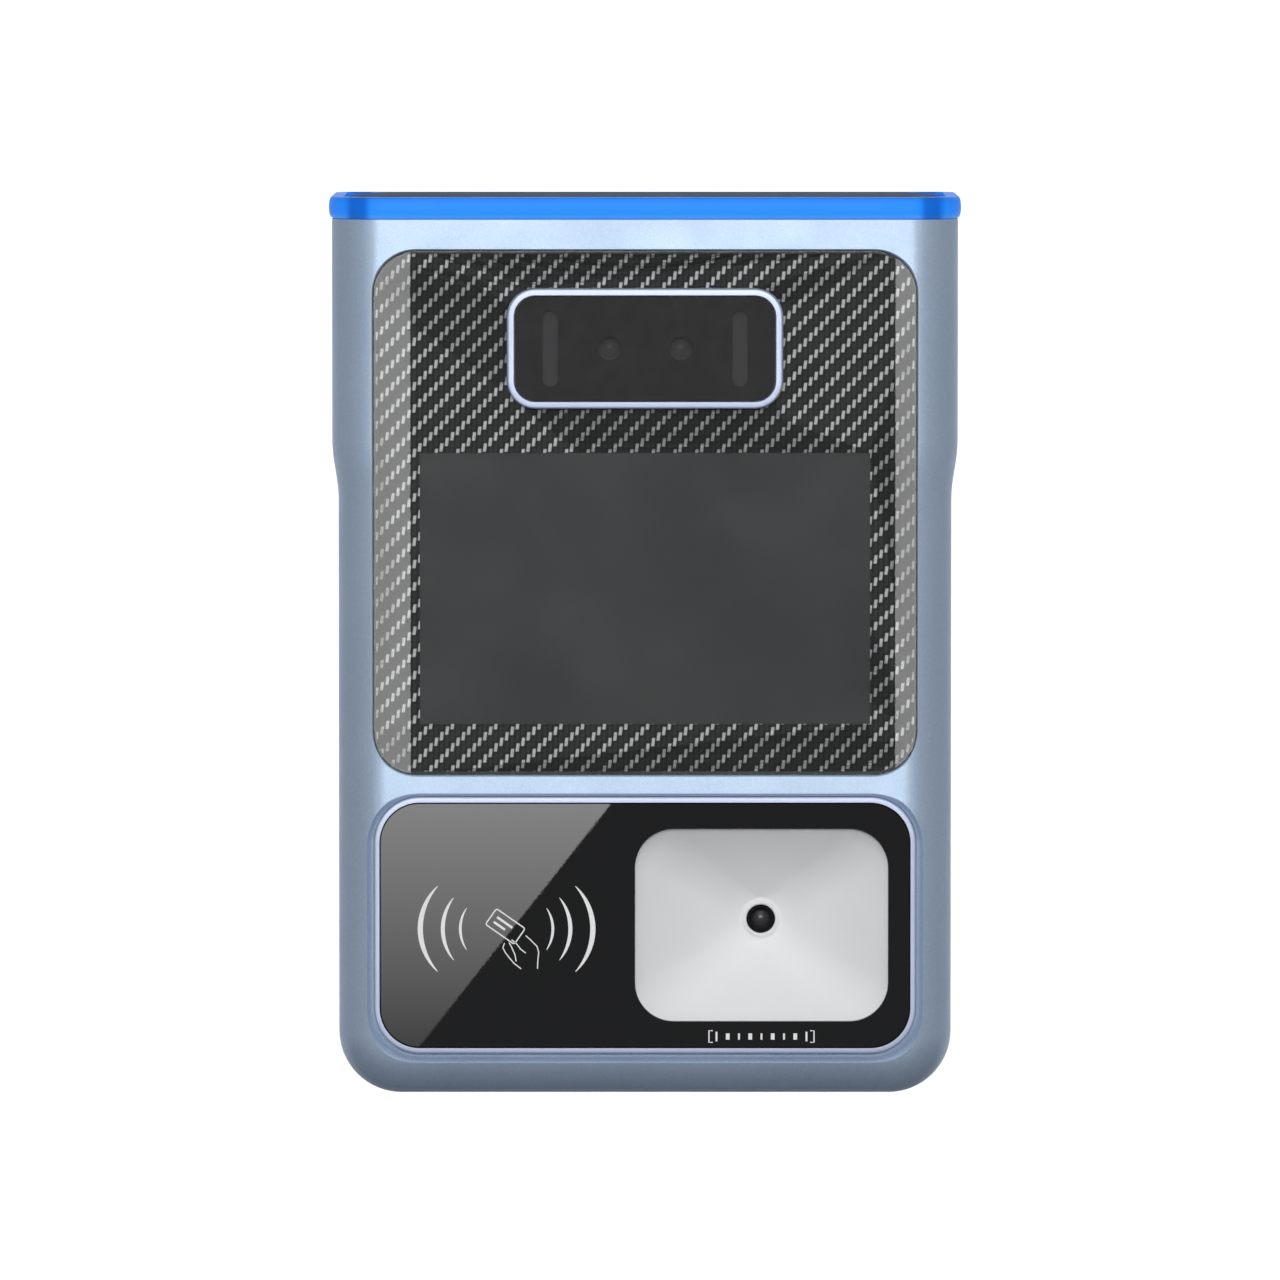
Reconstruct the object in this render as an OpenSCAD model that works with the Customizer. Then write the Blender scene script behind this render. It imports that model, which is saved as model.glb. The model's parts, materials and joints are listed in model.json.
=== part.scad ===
// Transit ticket validator terminal, made for a wall or a pole.
// Each part is laid out face up: X to the right, Y up the face, Z out of the front.
// stand() then turns it upright, with the front towards -Y and the rear face on Y = 0.
// The origin is the centre of the four mounting inserts in the rear face.

/* [Body] */
// Width of the lower body
body_w = 147.4; // [122:0.2:180]
// How far each side of the head steps out over the lower body
head_step = 1.5; // [0:0.1:4]
// Height of the housings, without the light guide
body_h = 210.6; // [175:0.2:255]
// Depth from the mounting face to the front face
body_d = 62; // [60:0.5:76]
// Depth of the rear housing, up to the joint line
rear_d = 26; // [25:0.5:30]
// Wall thickness of both housings
wall = 3.2; // [2.4:0.1:4]
// Thickness of the front wall behind the glass pockets
front_wall = 6; // [5.4:0.1:7.5]
// Radius of the two lower corners
corner_r = 15; // [12:0.5:20]
// Width of the soft front edge
edge_w = 8.4; // [6:0.2:10]
// Depth of the soft front edge
edge_d = 14; // [8:0.5:20]
// Radius of the rear edge
rear_r = 5; // [3:0.5:6]
// Height of the foot of the shoulder above the bottom
shoulder_z = 143; // [120:1:160]
// Height of the shoulder's S curve
shoulder_h = 14.4; // [8:0.2:20]

/* [Top light] */
// Height of the light guide
guide_h = 5.4; // [4:0.1:7]
// How far the guide stands out from the head
guide_proud = 0.75; // [0.3:0.05:1.5]
// Width of the guide's band, seen from above
guide_band = 9; // [7:0.5:12]
// Width of the guide's rim around the cap
guide_rim = 3.4; // [2.5:0.1:5]
// Thickness of the top cap
cap_t = 2.3; // [1.6:0.1:3]
// How far the cap stands above the guide
cap_proud = 0.3; // [0:0.1:1]
// Width of the LED board's strips
led_board_w = 6; // [5:0.5:8]

/* [Cover glass] */
// Housing left at each side of the glass
glass_side = 8.5; // [8:0.1:12]
// Housing left above the glass
glass_top = 7.4; // [6:0.1:12]
// Housing left between the glass and the reader ring
glass_low = 5.3; // [5:0.1:9]
// Corner radius of the glass
glass_r = 10.4; // [6:0.1:14]
// Thickness of the glass
glass_t = 1.8; // [1.1:0.1:2.2]
// Thickness of the printed film behind the glass
film_t = 0.3; // [0.2:0.05:0.5]
// Thickness of the bonding tape
tape_t = 0.4; // [0.3:0.05:0.6]
// Width of the bonding tape
tape_w = 3; // [2:0.2:4]

/* [Display] */
// Glass beyond each end of the display module
lcd_side = 4.85; // [4:0.05:8]
// Module border beyond the viewing area, left and right
lcd_border_x = 6.4; // [3:0.1:9]
// Module border beyond the viewing area, top and bottom
lcd_border_z = 5.3; // [3:0.1:7]
// Glass below the viewing area
view_low = 12.1; // [10:0.1:16]
// Glass above the viewing area
view_high = 48.4; // [46:0.1:56]
// Thickness of the display cell
cell_t = 1.4; // [1:0.1:2]
// Thickness of the bracket sheet
bracket_t = 0.8; // [0.6:0.1:1.5]

/* [Camera] */
// Width of the camera ring
cam_w = 65.9; // [54:0.1:80]
// Height of the camera ring
cam_h = 28.6; // [26:0.1:34]
// Outer corner radius of the camera ring
cam_r = 6.7; // [5:0.1:9]
// Width of the camera ring's face
cam_band = 1.5; // [1:0.1:2.5]
// Glass above the camera ring
cam_top = 9.1; // [7:0.1:11]
// How far the camera ring stands out
cam_proud = 1.2; // [0.6:0.1:2]
// Thickness of the smoked window
window_t = 1.5; // [1:0.1:1.8]
// Distance between the two lenses
lens_pitch = 17; // [12:0.5:20]
// Radius of a camera lens
lens_r = 3; // [2:0.1:4]
// From the side of the camera ring to the middle of a fill light
bar_side = 10.25; // [9:0.05:13]
// Width of a fill light
bar_w = 4; // [3:0.1:5]
// Height of a fill light
bar_h = 18.3; // [12:0.1:20]

/* [Reader] */
// Housing left at each side of the reader ring
reader_side = 8.7; // [8:0.1:12]
// Height of the reader ring
reader_h = 61.7; // [58:0.1:74]
// Height of the ring's lower edge above the bottom
reader_low = 10.6; // [9:0.1:14]
// Outer corner radius of the reader ring
reader_r = 11; // [8:0.1:14]
// Width of the reader ring's face
reader_band = 1.3; // [1:0.1:2.5]
// How far the reader ring stands out
reader_proud = 0.9; // [0.4:0.1:1.5]
// Thickness of the reader glass
reader_t = 1.8; // [1.1:0.1:2.2]
// Half width of the valley around the reader ring
valley_w = 3.6; // [2:0.1:4.5]
// Depth of that valley
valley_t = 1.2; // [0.6:0.1:1.6]
// Width of the antenna track
track_w = 0.8; // [0.5:0.1:1.2]

/* [Scanner] */
// Width of the scan funnel's mouth
mouth_w = 60.7; // [50:0.1:74]
// Height of the scan funnel's mouth
mouth_h = 46.2; // [38:0.1:50]
// Corner radius of the mouth
mouth_r = 9.3; // [6:0.1:12]
// Reader glass left to the right of the mouth
mouth_side = 5.3; // [4:0.1:8]
// Depth of the funnel
funnel_d = 18; // [15:0.5:19]
// Wall of the funnel
funnel_t = 1.6; // [1.2:0.1:2]
// Radius of the funnel's floor
funnel_floor_r = 5.2; // [4.8:0.1:7]
// Radius of the scanner's barrel
barrel_r = 3.35; // [2.5:0.05:3.6]
// Radius of the scanner's lens
eye_r = 2.05; // [1.5:0.05:2.2]

/* [Mounting] */
// Height of the mounting centre above the bottom
mount_h = 108; // [100:0.5:112]
// Distance between mounting inserts, both ways
mount_pitch = 75; // [75:0.5:80]
// Thread radius of a mounting insert, M4 minor
mount_r = 1.65; // [1.6:0.05:2.1]
// Outer radius of a mounting insert
insert_r = 3; // [2.8:0.1:3.5]
// Length of a mounting insert
insert_l = 8; // [6:0.5:9]

/* [Cable socket] */
// Radius of the recess around the socket
recess_r = 17; // [15:0.5:20]
// Depth of that recess
recess_d = 12; // [11:0.5:13]
// Outer radius of the socket
socket_r = 6; // [5.5:0.1:7]
// Inner radius of the socket
socket_bore_r = 4.8; // [4:0.1:5]

/* [Service bay] */
// Width of the service door
door_w = 86; // [80:0.5:88]
// Height of the service door
door_h = 40; // [38:0.5:48]
// Height of the door's lower edge above the bottom
door_low = 14; // [12:0.5:16]
// Thickness of the door
door_t = 2.4; // [2.2:0.1:2.8]
// Ledge that the door closes on, at the sides
door_ledge = 4; // [3.5:0.1:6]
// Depth of the bay, from the rear face
bay_d = 13; // [12.6:0.2:13.4]
// Wall around the bay
bay_wall = 2.4; // [2:0.1:3]
// Thickness of the door seal
seal_t = 1; // [0.8:0.1:1.2]
// Radius of the hinge knuckles
knuckle_r = 2; // [1.8:0.1:2.4]
// Radius of the hinge pin
pin_r = 1; // [0.8:0.05:1.2]
// Radius of the lock's barrel
lock_r = 5.5; // [5:0.1:6]
// Radius of the lock's turning plug
plug_r = 4; // [3.6:0.1:4.2]
// Reach of the lock's cam from its axis
cam_reach = 13.5; // [12.5:0.1:13.5]
// Radius of the power button
power_r = 4; // [3:0.1:4.5]
// Radius of the reset button
reset_r = 2.6; // [2:0.1:3]

/* [Boards] */
// Thickness of the circuit boards
board_t = 1.6; // [1.2:0.1:2]
// Depth of the main board's rear side
main_d = 22; // [21.4:0.2:24]
// Depth of the service board's rear side
service_d = 20; // [19.6:0.2:21]
// Room between the main board's ends and the body's sides
main_side = 17.7; // [16:0.1:20]

/* [Fits] */
// Gap around glass and trim in their pockets
trim_gap = 0.15; // [0.1:0.05:0.3]
// Gap around the door
door_gap = 0.4; // [0.3:0.05:0.6]
// Radial clearance of a turning or sliding fit
run_fit = 0.06; // [0.02:0.01:0.1]
// Radial clearance of a seated insert or screw
seat_fit = 0.03; // [0.02:0.01:0.05]

/* [Hidden] */
$fn = 48;
edge_steps = 10;
shoulder_steps = 3;
slice_t = 0.02;

// Colours
body_blue = [0.72, 0.80, 0.90];
trim_white = [0.88, 0.91, 0.96];
light_blue = [0.15, 0.52, 0.98];
cap_slate = [0.38, 0.47, 0.56];
glass_black = [0.10, 0.10, 0.11];
film_dark = [0.17, 0.16, 0.16];
display_grey = [0.24, 0.24, 0.24];
funnel_white = [0.86, 0.86, 0.87];
board_green = [0.08, 0.36, 0.20];
metal = [0.72, 0.73, 0.75];
brass = [0.78, 0.62, 0.30];
rubber_black = [0.08, 0.08, 0.08];
part_black = [0.14, 0.14, 0.15];
copper = [0.75, 0.42, 0.22];

// Depth levels, from the rear face
glass_back = body_d - glass_t;
film_back = glass_back - film_t;
pocket_d = film_back - tape_t;
roof_d = body_d - front_wall;
cell_back = film_back - cell_t;
reader_front = body_d + reader_proud;
reader_inset = 0.4;
reader_back = reader_front - reader_inset - reader_t;
reader_floor = body_d - 3.6;
funnel_floor = reader_back - funnel_d;
funnel_back = funnel_floor - 1.7;
bay_floor = bay_d + 2.2;
seat_d = door_t + seal_t;

// Width of the head, above the shoulder
head_w = body_w + 2 * head_step;

// Cover glass and what is behind it
glass_w = body_w - 2 * glass_side;
glass_z0 = reader_low + reader_h + glass_low;
glass_z1 = body_h - glass_top;
glass_h = glass_z1 - glass_z0;
glass_z = (glass_z0 + glass_z1) / 2;
lcd_w = glass_w - 2 * lcd_side;
view_w = lcd_w - 2 * lcd_border_x;
view_h = glass_h - view_low - view_high;
view_z = glass_z0 + view_low + view_h / 2;
lcd_h = view_h + 2 * lcd_border_z;
bracket_tab = 6.6;
bracket_h = lcd_h + 2 * bracket_tab;
bracket_screw_x = view_w / 2 - 9;
bracket_screw_z = bracket_h / 2 - 3;

// Camera
cam_z = glass_z1 - cam_top - cam_h / 2;
cam_ledge = 1.5;
cam_front = body_d + cam_proud;
window_front = cam_front - 0.5;
window_back = window_front - window_t;
cam_open_w = cam_w - 7.9;
cam_open_h = cam_h - 4.6;
cam_post_r = 2.4;
cam_post_x = cam_open_w / 2 + 3.5;
cam_post_z = 8.5;
cam_board_w = 2 * cam_post_x + 5;
cam_board_h = cam_open_h;
cam_board_d = roof_d - 4.4;
bar_pitch = cam_w - 2 * bar_side;
bar_end_r = bar_w / 2 - 0.05;

// Reader and scanner
reader_w = body_w - 2 * reader_side;
reader_z = reader_low + reader_h / 2;
reader_glass_w = reader_w - 2 * (reader_band + 0.1);
reader_glass_h = reader_h - 2 * (reader_band + 0.1);
reader_glass_r = reader_r - reader_band - 0.1;
reader_ledge = 1.5;
mouth_x = reader_glass_w / 2 - mouth_side - mouth_w / 2;
mouth_z = reader_z;
valley_r = (valley_w * valley_w + valley_t * valley_t) / (2 * valley_t);
antenna_x0 = 2.6 - reader_glass_w / 2;
antenna_x1 = mouth_x - mouth_w / 2 - funnel_t - 1.2;
antenna_w = antenna_x1 - antenna_x0;
antenna_x = (antenna_x0 + antenna_x1) / 2;
antenna_h = reader_glass_h - 8;
antenna_turns = 4;
ferrite_t = 0.5;
antenna_t = 1.2;
antenna_back = reader_floor + ferrite_t;
track_front = antenna_back + antenna_t;
engine_w = 24;
engine_h = 18;
engine_t = 10;
flange_t = 1.8;
flange_w = 4.6;
ear_r = 3.6;
ear_x = 18;
ear_z = mouth_h / 2 + 5.5;

// Joint between the housings
boss_r = 4.2;
rear_boss_r = 5;
boss_x = body_w / 2 - 9.2;
top_boss_x = boss_x - 24.5;
bosses = [
    for (sx = [-1, 1])
        each [
            [sx * boss_x, 16],
            [sx * boss_x, glass_z0 - 3.6],
            [sx * boss_x, body_h - 38.6],
            [sx * top_boss_x, body_h - 9.6]
        ]
];
m3_insert_r = 2.3;
m3_insert_l = 6;
m3_r = 1.5;
m3_head_r = 2.75;
m3_head_h = 3;
counterbore_r = 3.3;
head_seat = rear_d - 8;
gasket_w = 1.6;
gasket_t = 1.2;

// Small self-tapping screws at the front: place, and depth of the face under the head
tap_r = 1.1;
tap_head_r = 2.2;
tap_head_h = 1.6;
tap_l = 3.4;
front_screw_seats = concat(
    [for (sx = [-1, 1], sz = [-1, 1])
        [sx * bracket_screw_x, view_z + sz * bracket_screw_z, roof_d - bracket_t]],
    [for (sx = [-1, 1], sz = [-1, 1])
        [sx * cam_post_x, cam_z + sz * cam_post_z, cam_board_d - board_t]],
    [for (sx = [-1, 1], sz = [-1, 1])
        [mouth_x + sx * ear_x, mouth_z + sz * ear_z, roof_d - flange_t]]
);

// Main board, above the service bay
main_w = body_w - 2 * main_side;
main_z0 = door_low + door_h + 4;
main_z1 = body_h - 18.6;
main_h = main_z1 - main_z0;
main_z = (main_z0 + main_z1) / 2;
main_front = main_d + board_t;
standoff_x = main_w / 2 - 6;
standoff_z = main_h / 2 - 6;
standoff_r = 2.75;
standoff_hole_r = 1.25;
board_screw_r = 1.2;
board_hole_r = 1.6;
soc_w = 30;
soc_t = 1.6;
soc_at = [12, main_z + 18];
ribbon_w = 20;
ribbon_t = 0.4;
ribbon_z = view_z - 26;
plug_t = 3;

// Service bay
door_top = door_low + door_h;
door_z = door_low + door_h / 2;
bay_w = door_w - 2 * door_ledge;
bay_z0 = door_low + 9.5;
bay_z1 = door_top - 3.5;
bay_h = bay_z1 - bay_z0;
bay_z = (bay_z0 + bay_z1) / 2;
hinge_z = door_low + knuckle_r + 0.2;
hinge_span = door_w - 2;
hinge_parts = 5;
hinge_gap = 0.3;
knuckle_l = (hinge_span - (hinge_parts - 1) * hinge_gap) / hinge_parts;
hinge_room = 2 * knuckle_r + 0.8;
web_z = door_low - door_gap - 0.3;
lock_z = bay_z1 - 9.5;
lock_flange_r = 7.2;
lock_flange_t = 1;
lock_back = 8.5;
lock_nut_r = 7.6;
cam_t = 1.5;
cam_w_half = 4;
cam_d = lock_back + 0.2;
tail_w = 5;
service_w = bay_w + 4;
service_h = bay_h + 3;
post_x = service_w / 2 - 4;
post_z = service_h / 2 - 4;
post_r = 2.6;
power_at = [-bay_w / 2 + 9, lock_z];
reset_at = [-bay_w / 2 + 21, lock_z];
usb_at = [bay_w / 2 - 11, lock_z];
card_x = 14;
card_z = bay_z0 + 6.5;
card_w = 20;
card_h = 11;
switch_w = 6;
switch_t = 3;
button_proud = 1.5;
button_travel = 0.8;
stem_r = 1.7;

// Speaker, vent and battery
speaker_w = 40;
speaker_h = 9;
speaker_d = 20;
speaker_x = -body_w / 4;
speaker_mid = rear_d + 15;
slot_w = 1.8;
slot_l = 14;
slot_pitch = 4;
vent_x = body_w / 4;
vent_mid = rear_d + 14;
vent_r = 4;
vent_head_r = 6;

// Rating plate, cap and top lights
plate_w = 40;
plate_h = 20;
plate_t = 0.35;
plate_z = body_h - 24;
cap_z0 = body_h + guide_h + cap_proud - cap_t;
cap_screw_x = body_w / 2 - 18.7;
cap_screw_d = [rear_d - 12, rear_d + 14];
led_inset = guide_band + 1;
led_board_t = 1.2;
led_w = 3;
led_t = 1.4;
led_line = led_inset + 1.8;
led_pitch = (body_w - 44) / 12;
led_side_pitch = 8;
led_side_d = 18;
bullnose_h = 1.2;
bullnose_in = 0.5;

// Height above the bottom, as a place along Y
function up(z) = z - mount_h;

// Points round one front or rear edge, from the side to the face
function edge_points(half, face, inward, ew, ed) = [
    for (i = [0 : edge_steps])
        let (t = 90 * i / edge_steps)
            [half - ew + ew * cos(t), face + inward * ed * (1 - sin(t))]
];

// A list of points with its mirror image appended, as one closed outline
function mirrored(points) = concat(
    points,
    [for (i = [len(points) - 1 : -1 : 0]) [-points[i][0], points[i][1]]]
);

// Plan of a housing: square at the joint line, soft at its face
function housing_plan(half, joint, face, ew, ed) = mirrored(concat(
    [[half, joint]],
    edge_points(half, face, joint > face ? 1 : -1, ew, ed)
));

// Plan of the light guide and the cap, soft at the front and rounded at the rear
function top_plan(inset) = let (
    half = head_w / 2 + guide_proud - inset,
    rear = 0.5 + inset,
    front = body_d + guide_proud - inset,
    ew = max(edge_w + guide_proud - inset, 1),
    ed = max(edge_d + guide_proud - inset, 1),
    rr = max(rear_r - inset, 1)
) mirrored(concat(
    [for (i = [edge_steps : -1 : 0])
        let (t = 90 * i / edge_steps)
            [half - rr + rr * cos(t), rear + rr * (1 - sin(t))]],
    edge_points(half, front, -1, ew, ed)
));

module stand() rotate([90, 0, 0]) children();

module round_rect(w, h, r) {
    square([w - 2 * r, h], center = true);
    square([w, h - 2 * r], center = true);
    for (sx = [-1, 1], sy = [-1, 1])
        translate([sx * (w / 2 - r), sy * (h / 2 - r)]) circle(r);
}

// A plate with round corners between two depths, centred at x and a height z
module slab(w, h, r, d0, d1, x = 0, z = 0) {
    translate([x, up(z), d0]) linear_extrude(d1 - d0) round_rect(w, h, r);
}

// A plate with square corners between two depths
module block(w, h, d0, d1, x = 0, z = 0) {
    translate([x - w / 2, up(z) - h / 2, d0]) cube([w, h, d1 - d0]);
}

// A frame of one band width between two depths
module band(w, h, r, b, d0, d1, x = 0, z = 0) {
    difference() {
        slab(w, h, r, d0, d1, x, z);
        slab(w - 2 * b, h - 2 * b, r - b, d0 - 1, d1 + 1, x, z);
    }
}

// A round bar between two depths
module rod(r, d0, d1, x = 0, z = 0) {
    translate([x, up(z), d0]) cylinder(h = d1 - d0, r = r);
}

// A plan outline drawn out upwards between two heights
module rise(z0, z1) {
    translate([0, up(z1), 0]) rotate([90, 0, 0]) linear_extrude(z1 - z0) children();
}

// Half width of the body at a share of the shoulder, along an S curve
function shoulder_half(s) = (body_w + (head_w - body_w) * (1 - cos(180 * s)) / 2) / 2;

// The outside of a housing between its joint line and its face
module housing_block(joint, face, ew, ed) {
    section = concat(
        [[0, joint], [corner_r, joint]],
        edge_points(corner_r, face, joint > face ? 1 : -1, ew, ed),
        [[0, face]]
    );
    rise(corner_r, shoulder_z) polygon(housing_plan(body_w / 2, joint, face, ew, ed));
    rise(shoulder_z + shoulder_h, body_h) polygon(housing_plan(head_w / 2, joint, face, ew, ed));
    for (i = [0 : shoulder_steps - 1]) {
        z0 = shoulder_z + shoulder_h * i / shoulder_steps;
        z1 = shoulder_z + shoulder_h * (i + 1) / shoulder_steps;
        hull() {
            rise(z0, z0 + slice_t)
                polygon(housing_plan(shoulder_half(i / shoulder_steps), joint, face, ew, ed));
            rise(z1 - slice_t, z1)
                polygon(housing_plan(shoulder_half((i + 1) / shoulder_steps), joint, face, ew, ed));
        }
    }
    translate([0, up(corner_r), 0])
        rotate([90, 0, -90])
            linear_extrude(body_w - 2 * corner_r, center = true) polygon(section);
    for (side = [-1, 1])
        translate([side * (body_w / 2 - corner_r), up(corner_r), 0])
            rotate([0, 0, side > 0 ? -90 : 180])
                rotate_extrude(angle = 90) polygon(section);
}

// The hollow inside both housings, between two depths
module cavity(d0, d1) {
    slab(body_w - 2 * wall, body_h - 2 * wall, corner_r - wall, d0, d1, 0, body_h / 2);
}

// The round-bottomed valley that runs around the reader ring
module valley() {
    lift = body_d + valley_r - valley_t;
    translate([0, up(reader_z), lift]) {
        for (side = [-1, 1]) {
            translate([0, side * reader_h / 2, 0])
                rotate([0, 90, 0])
                    cylinder(h = reader_w - 2 * reader_r, r = valley_r, center = true);
            translate([side * reader_w / 2, 0, 0])
                rotate([90, 0, 0])
                    cylinder(h = reader_h - 2 * reader_r, r = valley_r, center = true);
        }
        for (turn = [0 : 3]) {
            sx = turn == 0 || turn == 3 ? 1 : -1;
            sz = turn < 2 ? 1 : -1;
            translate([sx * (reader_w / 2 - reader_r), sz * (reader_h / 2 - reader_r), 0])
                rotate([0, 0, 90 * turn])
                    rotate_extrude(angle = 90) translate([reader_r, 0]) circle(valley_r);
        }
    }
}

// Housings

module front_housing() color(body_blue) stand() {
    difference() {
        union() {
            difference() {
                housing_block(rear_d, body_d, edge_w, edge_d);
                cavity(rear_d - 1, roof_d);
            }
            for (p = bosses) rod(boss_r, rear_d, roof_d + 0.5, p[0], p[1]);
            for (sx = [-1, 1], sz = [-1, 1])
                rod(cam_post_r, cam_board_d, roof_d + 0.5, sx * cam_post_x, cam_z + sz * cam_post_z);
        }
        valley();
        slab(glass_w + 2 * trim_gap, glass_h + 2 * trim_gap, glass_r + trim_gap,
            pocket_d, body_d + 1, 0, glass_z);
        slab(lcd_w + 0.6, lcd_h + 0.6, 1, roof_d - 1, pocket_d + 1, 0, view_z);
        slab(cam_open_w, cam_open_h, 3, roof_d - 1, pocket_d + 1, 0, cam_z);
        slab(reader_w + 2 * trim_gap, reader_h + 2 * trim_gap, reader_r + trim_gap,
            reader_floor, body_d + 2, 0, reader_z);
        slab(mouth_w + 2 * funnel_t + 0.4, mouth_h + 2 * funnel_t + 0.4, mouth_r + funnel_t + 0.2,
            roof_d - 1, reader_floor + 1, mouth_x, mouth_z);
        band(body_w - wall + gasket_w, body_h - wall + gasket_w, corner_r - wall / 2 + gasket_w / 2,
            gasket_w, rear_d - 1, rear_d + gasket_t, 0, body_h / 2);
        for (p = bosses) {
            rod(m3_insert_r + seat_fit, rear_d - 1, rear_d + m3_insert_l, p[0], p[1]);
            rod(m3_r + 0.1, rear_d, rear_d + 10, p[0], p[1]);
        }
        for (s = front_screw_seats)
            rod(tap_r + seat_fit, s[2] - 1, s[2] + tap_l + 0.2, s[0], s[1]);
        cap_screw_holes(rear_d, body_d);
        for (i = [-2.5 : 2.5])
            translate([speaker_x + i * slot_pitch - slot_w / 2, up(-1), speaker_mid - slot_l / 2])
                cube([slot_w, wall + 2, slot_l]);
        translate([vent_x, up(-1), vent_mid]) rotate([-90, 0, 0]) {
            cylinder(h = wall + 2, r = vent_r + seat_fit);
            cylinder(h = 2.5, r = vent_head_r + 0.2);
        }
    }
}

module rear_housing() color(body_blue) stand() {
    difference() {
        union() {
            difference() {
                housing_block(rear_d, 0, rear_r, rear_r);
                cavity(wall, rear_d + 1);
            }
            for (p = bosses) rod(rear_boss_r, wall - 0.5, rear_d, p[0], p[1]);
            for (sx = [-1, 1], sy = [-1, 1])
                rod(insert_r + 2.4, wall - 0.5, insert_l + 2,
                    sx * mount_pitch / 2, mount_h + sy * mount_pitch / 2);
            rod(recess_r + 2, wall - 0.5, recess_d + 2, 0, mount_h);
            block(door_w + 2 * (door_gap + bay_wall), door_h + 2 * (door_gap + bay_wall),
                wall - 0.5, bay_floor, 0, door_z);
            for (sx = [-1, 1], sz = [-1, 1])
                rod(post_r, bay_floor - 0.5, service_d, sx * post_x, bay_z + sz * post_z);
        }
        for (p = bosses) {
            rod(counterbore_r, -1, head_seat, p[0], p[1]);
            rod(m3_r + 0.2, 0, rear_d + 1, p[0], p[1]);
        }
        for (sx = [-1, 1], sy = [-1, 1])
            rod(insert_r + seat_fit, -1, insert_l,
                sx * mount_pitch / 2, mount_h + sy * mount_pitch / 2);
        rod(recess_r, -1, recess_d, 0, mount_h);
        rod(socket_r - 0.4 + seat_fit, 0, recess_d + 3, 0, mount_h);
        slab(door_w + 2 * door_gap, door_h + 2 * door_gap, 3 + door_gap, -1, seat_d, 0, door_z);
        block(bay_w, bay_h, -1, bay_d, 0, bay_z);
        block(door_w + 2 * door_gap, hinge_room, -1, hinge_room,
            0, door_low - door_gap + hinge_room / 2);
        block(2 * (cam_reach - 3), 5.1, cam_d - 0.5, cam_d + cam_t + 0.6, 0, bay_z1 + 2.05);
        rod(power_r + run_fit, 0, bay_floor + 1, power_at[0], power_at[1]);
        rod(reset_r + run_fit, 0, bay_floor + 1, reset_at[0], reset_at[1]);
        block(12.6, 5.6, 0, bay_floor + 1, usb_at[0], usb_at[1]);
        for (sx = [-1, 1])
            block(card_w - 3, card_h - 3, 0, bay_floor + 1, sx * card_x, card_z);
        for (sx = [-1, 1], sz = [-1, 1])
            rod(standoff_hole_r, service_d - 4, service_d + 1, sx * post_x, bay_z + sz * post_z);
        cap_screw_holes(0, rear_d);
        slab(plate_w + 0.4, plate_h + 0.4, 2.2, -1, plate_t + 0.05, 0, plate_z);
    }
    for (i = [1 : 2 : hinge_parts - 2])
        difference() {
            union() {
                knuckle(i);
                translate([knuckle_x(i), up(web_z), knuckle_r - 0.8])
                    cube([knuckle_l, hinge_z - web_z, hinge_room - knuckle_r + 1.1]);
            }
            pin_bar(pin_r + seat_fit, hinge_span + 2);
        }
}

module housing_gasket() color(rubber_black) stand()
    band(body_w - wall + gasket_w - 0.1, body_h - wall + gasket_w - 0.1,
        corner_r - wall / 2 + gasket_w / 2 - 0.05, gasket_w - 0.1,
        rear_d, rear_d + gasket_t - 0.02, 0, body_h / 2);

module housing_screws() color(metal) stand()
    for (p = bosses) {
        difference() {
            rod(m3_head_r, head_seat - m3_head_h, head_seat, p[0], p[1]);
            translate([p[0], up(p[1]), head_seat - m3_head_h - 1]) cylinder(h = 2.6, r = 1.4, $fn = 6);
        }
        rod(m3_r - seat_fit, head_seat - 0.5, rear_d + m3_insert_l - 1, p[0], p[1]);
    }

module housing_inserts() color(brass) stand()
    for (p = bosses)
        difference() {
            rod(m3_insert_r, rear_d, rear_d + m3_insert_l - 0.02, p[0], p[1]);
            rod(m3_r, rear_d - 1, rear_d + m3_insert_l + 1, p[0], p[1]);
        }

// Top light and cap

module cap_screw_holes(d0, d1) {
    for (sx = [-1, 1], d = cap_screw_d)
        if (d > d0 && d < d1)
            translate([sx * cap_screw_x, up(body_h - wall - 1), d])
                rotate([-90, 0, 0]) cylinder(h = wall + 2, r = 1.5);
}

module light_guide() color(light_blue) stand() {
    difference() {
        union() {
            rise(body_h, body_h + bullnose_h) polygon(top_plan(bullnose_in));
            rise(body_h + bullnose_h, body_h + guide_h - bullnose_h) polygon(top_plan(0));
            rise(body_h + guide_h - bullnose_h, body_h + guide_h) polygon(top_plan(bullnose_in));
        }
        rise(body_h - 1, body_h + guide_h + 1) polygon(top_plan(guide_band));
        rise(cap_z0, body_h + guide_h + 1) polygon(top_plan(guide_rim));
    }
}

module top_cap() color(cap_slate) stand() {
    rise(cap_z0, cap_z0 + cap_t) polygon(top_plan(guide_rim + trim_gap));
    for (sx = [-1, 1], d = cap_screw_d)
        translate([sx * cap_screw_x, up(body_h), d]) rotate([-90, 0, 0])
            difference() {
                cylinder(h = cap_z0 - body_h + 0.5, r = 3);
                translate([0, 0, -1]) cylinder(h = 3.5, r = 1.25);
            }
}

module cap_screws() color(metal) stand()
    for (sx = [-1, 1], d = cap_screw_d)
        translate([sx * cap_screw_x, up(body_h - wall), d]) rotate([-90, 0, 0]) {
            cylinder(h = wall + 2, r = 1.2);
            translate([0, 0, -1.8]) cylinder(h = 1.8, r = 2.5);
        }

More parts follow.
